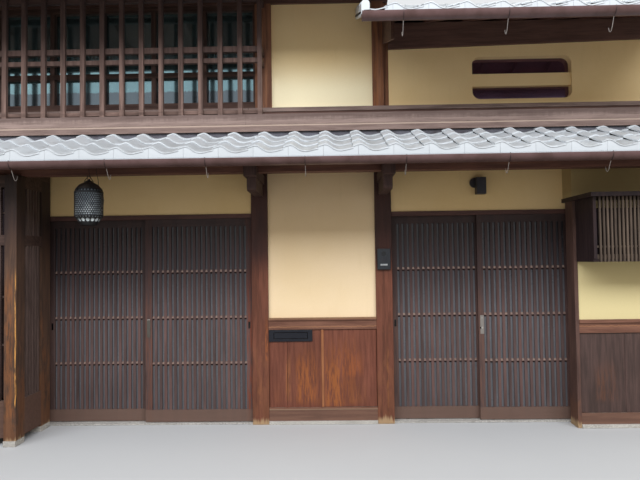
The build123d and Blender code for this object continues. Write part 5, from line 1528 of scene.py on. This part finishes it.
lock_plate = thin_plate("lock_plate", (2.061, 2.094), (0.786, 0.954), DOOR_FACES["door_2_right"], dull_steel,
                        "door_2_right")
thin_plate("pull_plate", (-0.974, -0.942), (0.786, 0.943), DOOR_FACES["door_1_right"], worn_brass, "door_1_right")
points, faces = [], []
rod(points, faces, [(2.078, -2.9135, LOCK_HEIGHT), (2.078, -2.9105, LOCK_HEIGHT)], 0.0095, 18)
rod(points, faces, [(2.0775, -2.9125, 0.930), (2.0775, -2.9105, 0.930)], 0.0050, 12)
add_piece("lock_cylinder", points, faces, pale_steel, "black_metal", body="door_2_right", smooth_angle=40)
points, faces = [], []
rod(points, faces, [(2.0665, -2.9120, LOCK_HEIGHT), (2.0665, -2.9105, LOCK_HEIGHT)], 0.0090, 16)
add_piece("lock_hollow", points, faces, dark_lens, "black_metal", body="door_2_right", smooth_angle=40)
points, faces = [], []
rod(points, faces, [(-0.970, -2.9115, 0.9445), (-0.965, -2.9115, 0.9470), (-0.951, -2.9115, 0.9470),
                    (-0.946, -2.9115, 0.9445)], 0.0036, 8)
add_piece("pull_plate_lip", points, faces, pale_steel, "black_metal", body="door_1_right", smooth_angle=40)
finger_pulls = []
for body, middle_x in (("door_1_left", -1.870), ("door_1_right", -0.035), ("door_2_left", 1.300),
                       ("door_2_right", 2.860)):
    face_y = DOOR_FACES[body]
    points, faces, tones = [], [], []
    bevelled_box(points, faces, tones, (middle_x - PULL_HALF, face_y + 0.0012, PULL_LOW),
                 (middle_x + PULL_HALF, face_y + 0.0060, PULL_HIGH), 0.0004, 0.5)
    finger_pulls.append(add_piece(f"{body}_finger_pull", points, faces, dark_lens, "black_metal", body=body))
print("lock plate", [round(v, 3) for v in lock_plate.dimensions], "pulls", len(finger_pulls))

# %% [markdown]
# ## The face of the intercom
#
# The joiner's node is the plain housing. Its face has a raised ring round a dark lens, five speaker slits
# and a pale button strip. They are discs and thin boxes that stand about one to three millimetres proud,
# so that light catches their edges.

# %% Intercom face
LENS_X, LENS_HEIGHT = 1.193, 1.5225
SLIT_COUNT, FIRST_SLIT, SLIT_PITCH, SLIT_HEIGHT = 5, 1.448, 0.009, 0.0035
face_pieces = []
points, faces = [], []
rod(points, faces, [(LENS_X, -2.9780, LENS_HEIGHT), (LENS_X, -2.9755, LENS_HEIGHT)], 0.029, 32)
face_pieces.append(add_piece("intercom_ring", points, faces, slate_plastic, "slate_plastic", smooth_angle=40))
points, faces = [], []
rod(points, faces, [(LENS_X, -2.9790, LENS_HEIGHT), (LENS_X, -2.9760, LENS_HEIGHT)], 0.021, 28)
face_pieces.append(add_piece("intercom_lens", points, faces, dark_lens, "slate_plastic", smooth_angle=40))
points, faces, tones = [], [], []
bevelled_box(points, faces, tones, (1.162, -2.9775, 1.416), (1.226, -2.9755, 1.431), 0.0008, 0.5)
face_pieces.append(add_piece("intercom_strip", points, faces, pale_strip, "slate_plastic"))
points, faces, tones = [], [], []
for index in range(SLIT_COUNT):
    low_z = FIRST_SLIT + index * SLIT_PITCH
    bevelled_box(points, faces, tones, (1.165, -2.9768, low_z), (1.221, -2.9758, low_z + SLIT_HEIGHT), 0.0004, 0.5)
face_pieces.append(add_piece("intercom_slits", points, faces, lamp_iron, "slate_plastic"))
print("intercom pieces", len(face_pieces))

# %% [markdown]
# ## Floor and sky
#
# The house stands on a plain pale floor. Seen by the camera and in gloss, the world is a pale backdrop;
# what falls on the house from it is weaker and a little warmer. Light Path tells the two apart, so the
# backdrop stays pale and a colour on the house still looks about as written.

# %% Floor
FLOOR_HALF, FLOOR_LEVEL = 40, -0.002
floor_material, tree, shader = start_material("Plain floor")
floor_tone = use_effect(tree, mottle, Vector=place(tree), Cloud_size=0.6, Sand_size=40.0)
pale_floor = mix_shades(tree, floor_tone["Clouds"], shade(206, 208, 210), shade(198, 200, 202))
watched = put(tree, "ShaderNodeLightPath").outputs["Is Camera Ray"]
join(tree, mix_shades(tree, watched, shade(152, 147, 140), pale_floor), shader.inputs["Base Color"])
shader.inputs["Roughness"].default_value = 0.9
corners = [(x * FLOOR_HALF, y * FLOOR_HALF, FLOOR_LEVEL) for x, y in ((-1, -1), (1, -1), (1, 1), (-1, 1))]
floor_mesh = bpy.data.meshes.new("floor")
floor_mesh.from_pydata(corners, [], [(0, 1, 2, 3)])
floor_mesh.materials.append(floor_material)
floor = bpy.data.objects.new("floor", floor_mesh)
bpy.context.scene.collection.objects.link(floor)
print("floor across", 2 * FLOOR_HALF)

# %% Sky
world = bpy.data.worlds.new("Pale sky")
bpy.context.scene.world = world
world.use_nodes = True
sky = world.node_tree
sky.nodes.clear()
path = put(sky, "ShaderNodeLightPath")
seen = sum_of(sky, "ADD", sum_of(sky, "ADD", path.outputs["Is Camera Ray"], path.outputs["Is Glossy Ray"]),
              path.outputs["Is Transmission Ray"], clamp=True)
background = put(sky, "ShaderNodeBackground")
join(sky, mix_shades(sky, seen, shade(240, 234, 224), shade(240, 242, 244)), background.inputs["Color"])
join(sky, sum_of(sky, "MULTIPLY_ADD", seen, 0.24, 0.70), background.inputs["Strength"])
join(sky, background.outputs[0], put(sky, "ShaderNodeOutputWorld").inputs["Surface"])
print("sky nodes", len(sky.nodes))

# %% [markdown]
# ## Light over the lane
#
# Between two rows of houses light falls in from a long strip of open sky. A wide, low area lamp in front
# of the house stands for that strip and gives the soft shade under the eaves. A weak sun with a broad
# disc adds the light from high up on roofs and ledges.

# %% Lamps
LANE_SKY_POWER, LANE_SKY_WIDTH, LANE_SKY_DEPTH = 900.0, 16.0, 2.8
LANE_SKY_SPOT, LANE_SKY_AIM = (0.6, -9.0, 6.2), (0.6, -2.9, 1.8)
HIGH_SUN_STRENGTH, HIGH_SUN_DISC = 0.5, 40
HIGH_SUN_WAY = (-0.2, -0.5, -0.85)


def lamp(name, kind, energy, way, **settings):
    data = bpy.data.lights.new(name, kind)
    data.energy = energy
    for key, value in settings.items():
        setattr(data, key, value)
    piece = bpy.data.objects.new(name, data)
    piece.rotation_euler = way.to_track_quat("-Z", "Y").to_euler()
    bpy.context.scene.collection.objects.link(piece)
    return piece


lane_sky = lamp("Sky over the lane", "AREA", LANE_SKY_POWER, Vector(LANE_SKY_AIM) - Vector(LANE_SKY_SPOT),
                shape="RECTANGLE", size=LANE_SKY_WIDTH, size_y=LANE_SKY_DEPTH, color=(0.97, 1.0, 1.05))
lane_sky.location = LANE_SKY_SPOT
lane_sky.visible_camera = False
lane_sky.visible_glossy = False
high_sun = lamp("Thin high sun", "SUN", HIGH_SUN_STRENGTH, Vector(HIGH_SUN_WAY), angle=math.radians(HIGH_SUN_DISC))
print("lamps", lane_sky.data.energy, high_sun.data.energy)

# %% [markdown]
# ## The camera
#
# The camera stands in the lane at eye height, a little to the right of the house's middle, with a lens
# slightly wider than the eye's. Its small turns come from fitting the joiner's edges to what is seen.

# %% Camera where the photographer stood
CAMERA_SPOT = (0.713, -8.027, 1.492)
SENSOR_WIDTH, LENS = 36.0, 31.5
YAW, PITCH, ROLL = math.radians(1.04), math.radians(1.834), math.radians(0.762)
camera_data = bpy.data.cameras.new("Street camera")
camera_data.sensor_width = SENSOR_WIDTH
camera_data.lens = LENS
camera_data.clip_end = 200.0
camera = bpy.data.objects.new("Street camera", camera_data)
bpy.context.scene.collection.objects.link(camera)
camera.location = CAMERA_SPOT
camera.rotation_euler = (Matrix.Rotation(YAW, 3, "Z") @ Matrix.Rotation(PITCH, 3, "X") @ Matrix.Rotation(ROLL, 3, "Y")
                         @ Matrix.Rotation(math.radians(90), 3, "X")).to_euler()
bpy.context.scene.camera = camera
bpy.context.scene.view_settings.view_transform = "Standard"
print("camera", tuple(round(v, 3) for v in camera.location))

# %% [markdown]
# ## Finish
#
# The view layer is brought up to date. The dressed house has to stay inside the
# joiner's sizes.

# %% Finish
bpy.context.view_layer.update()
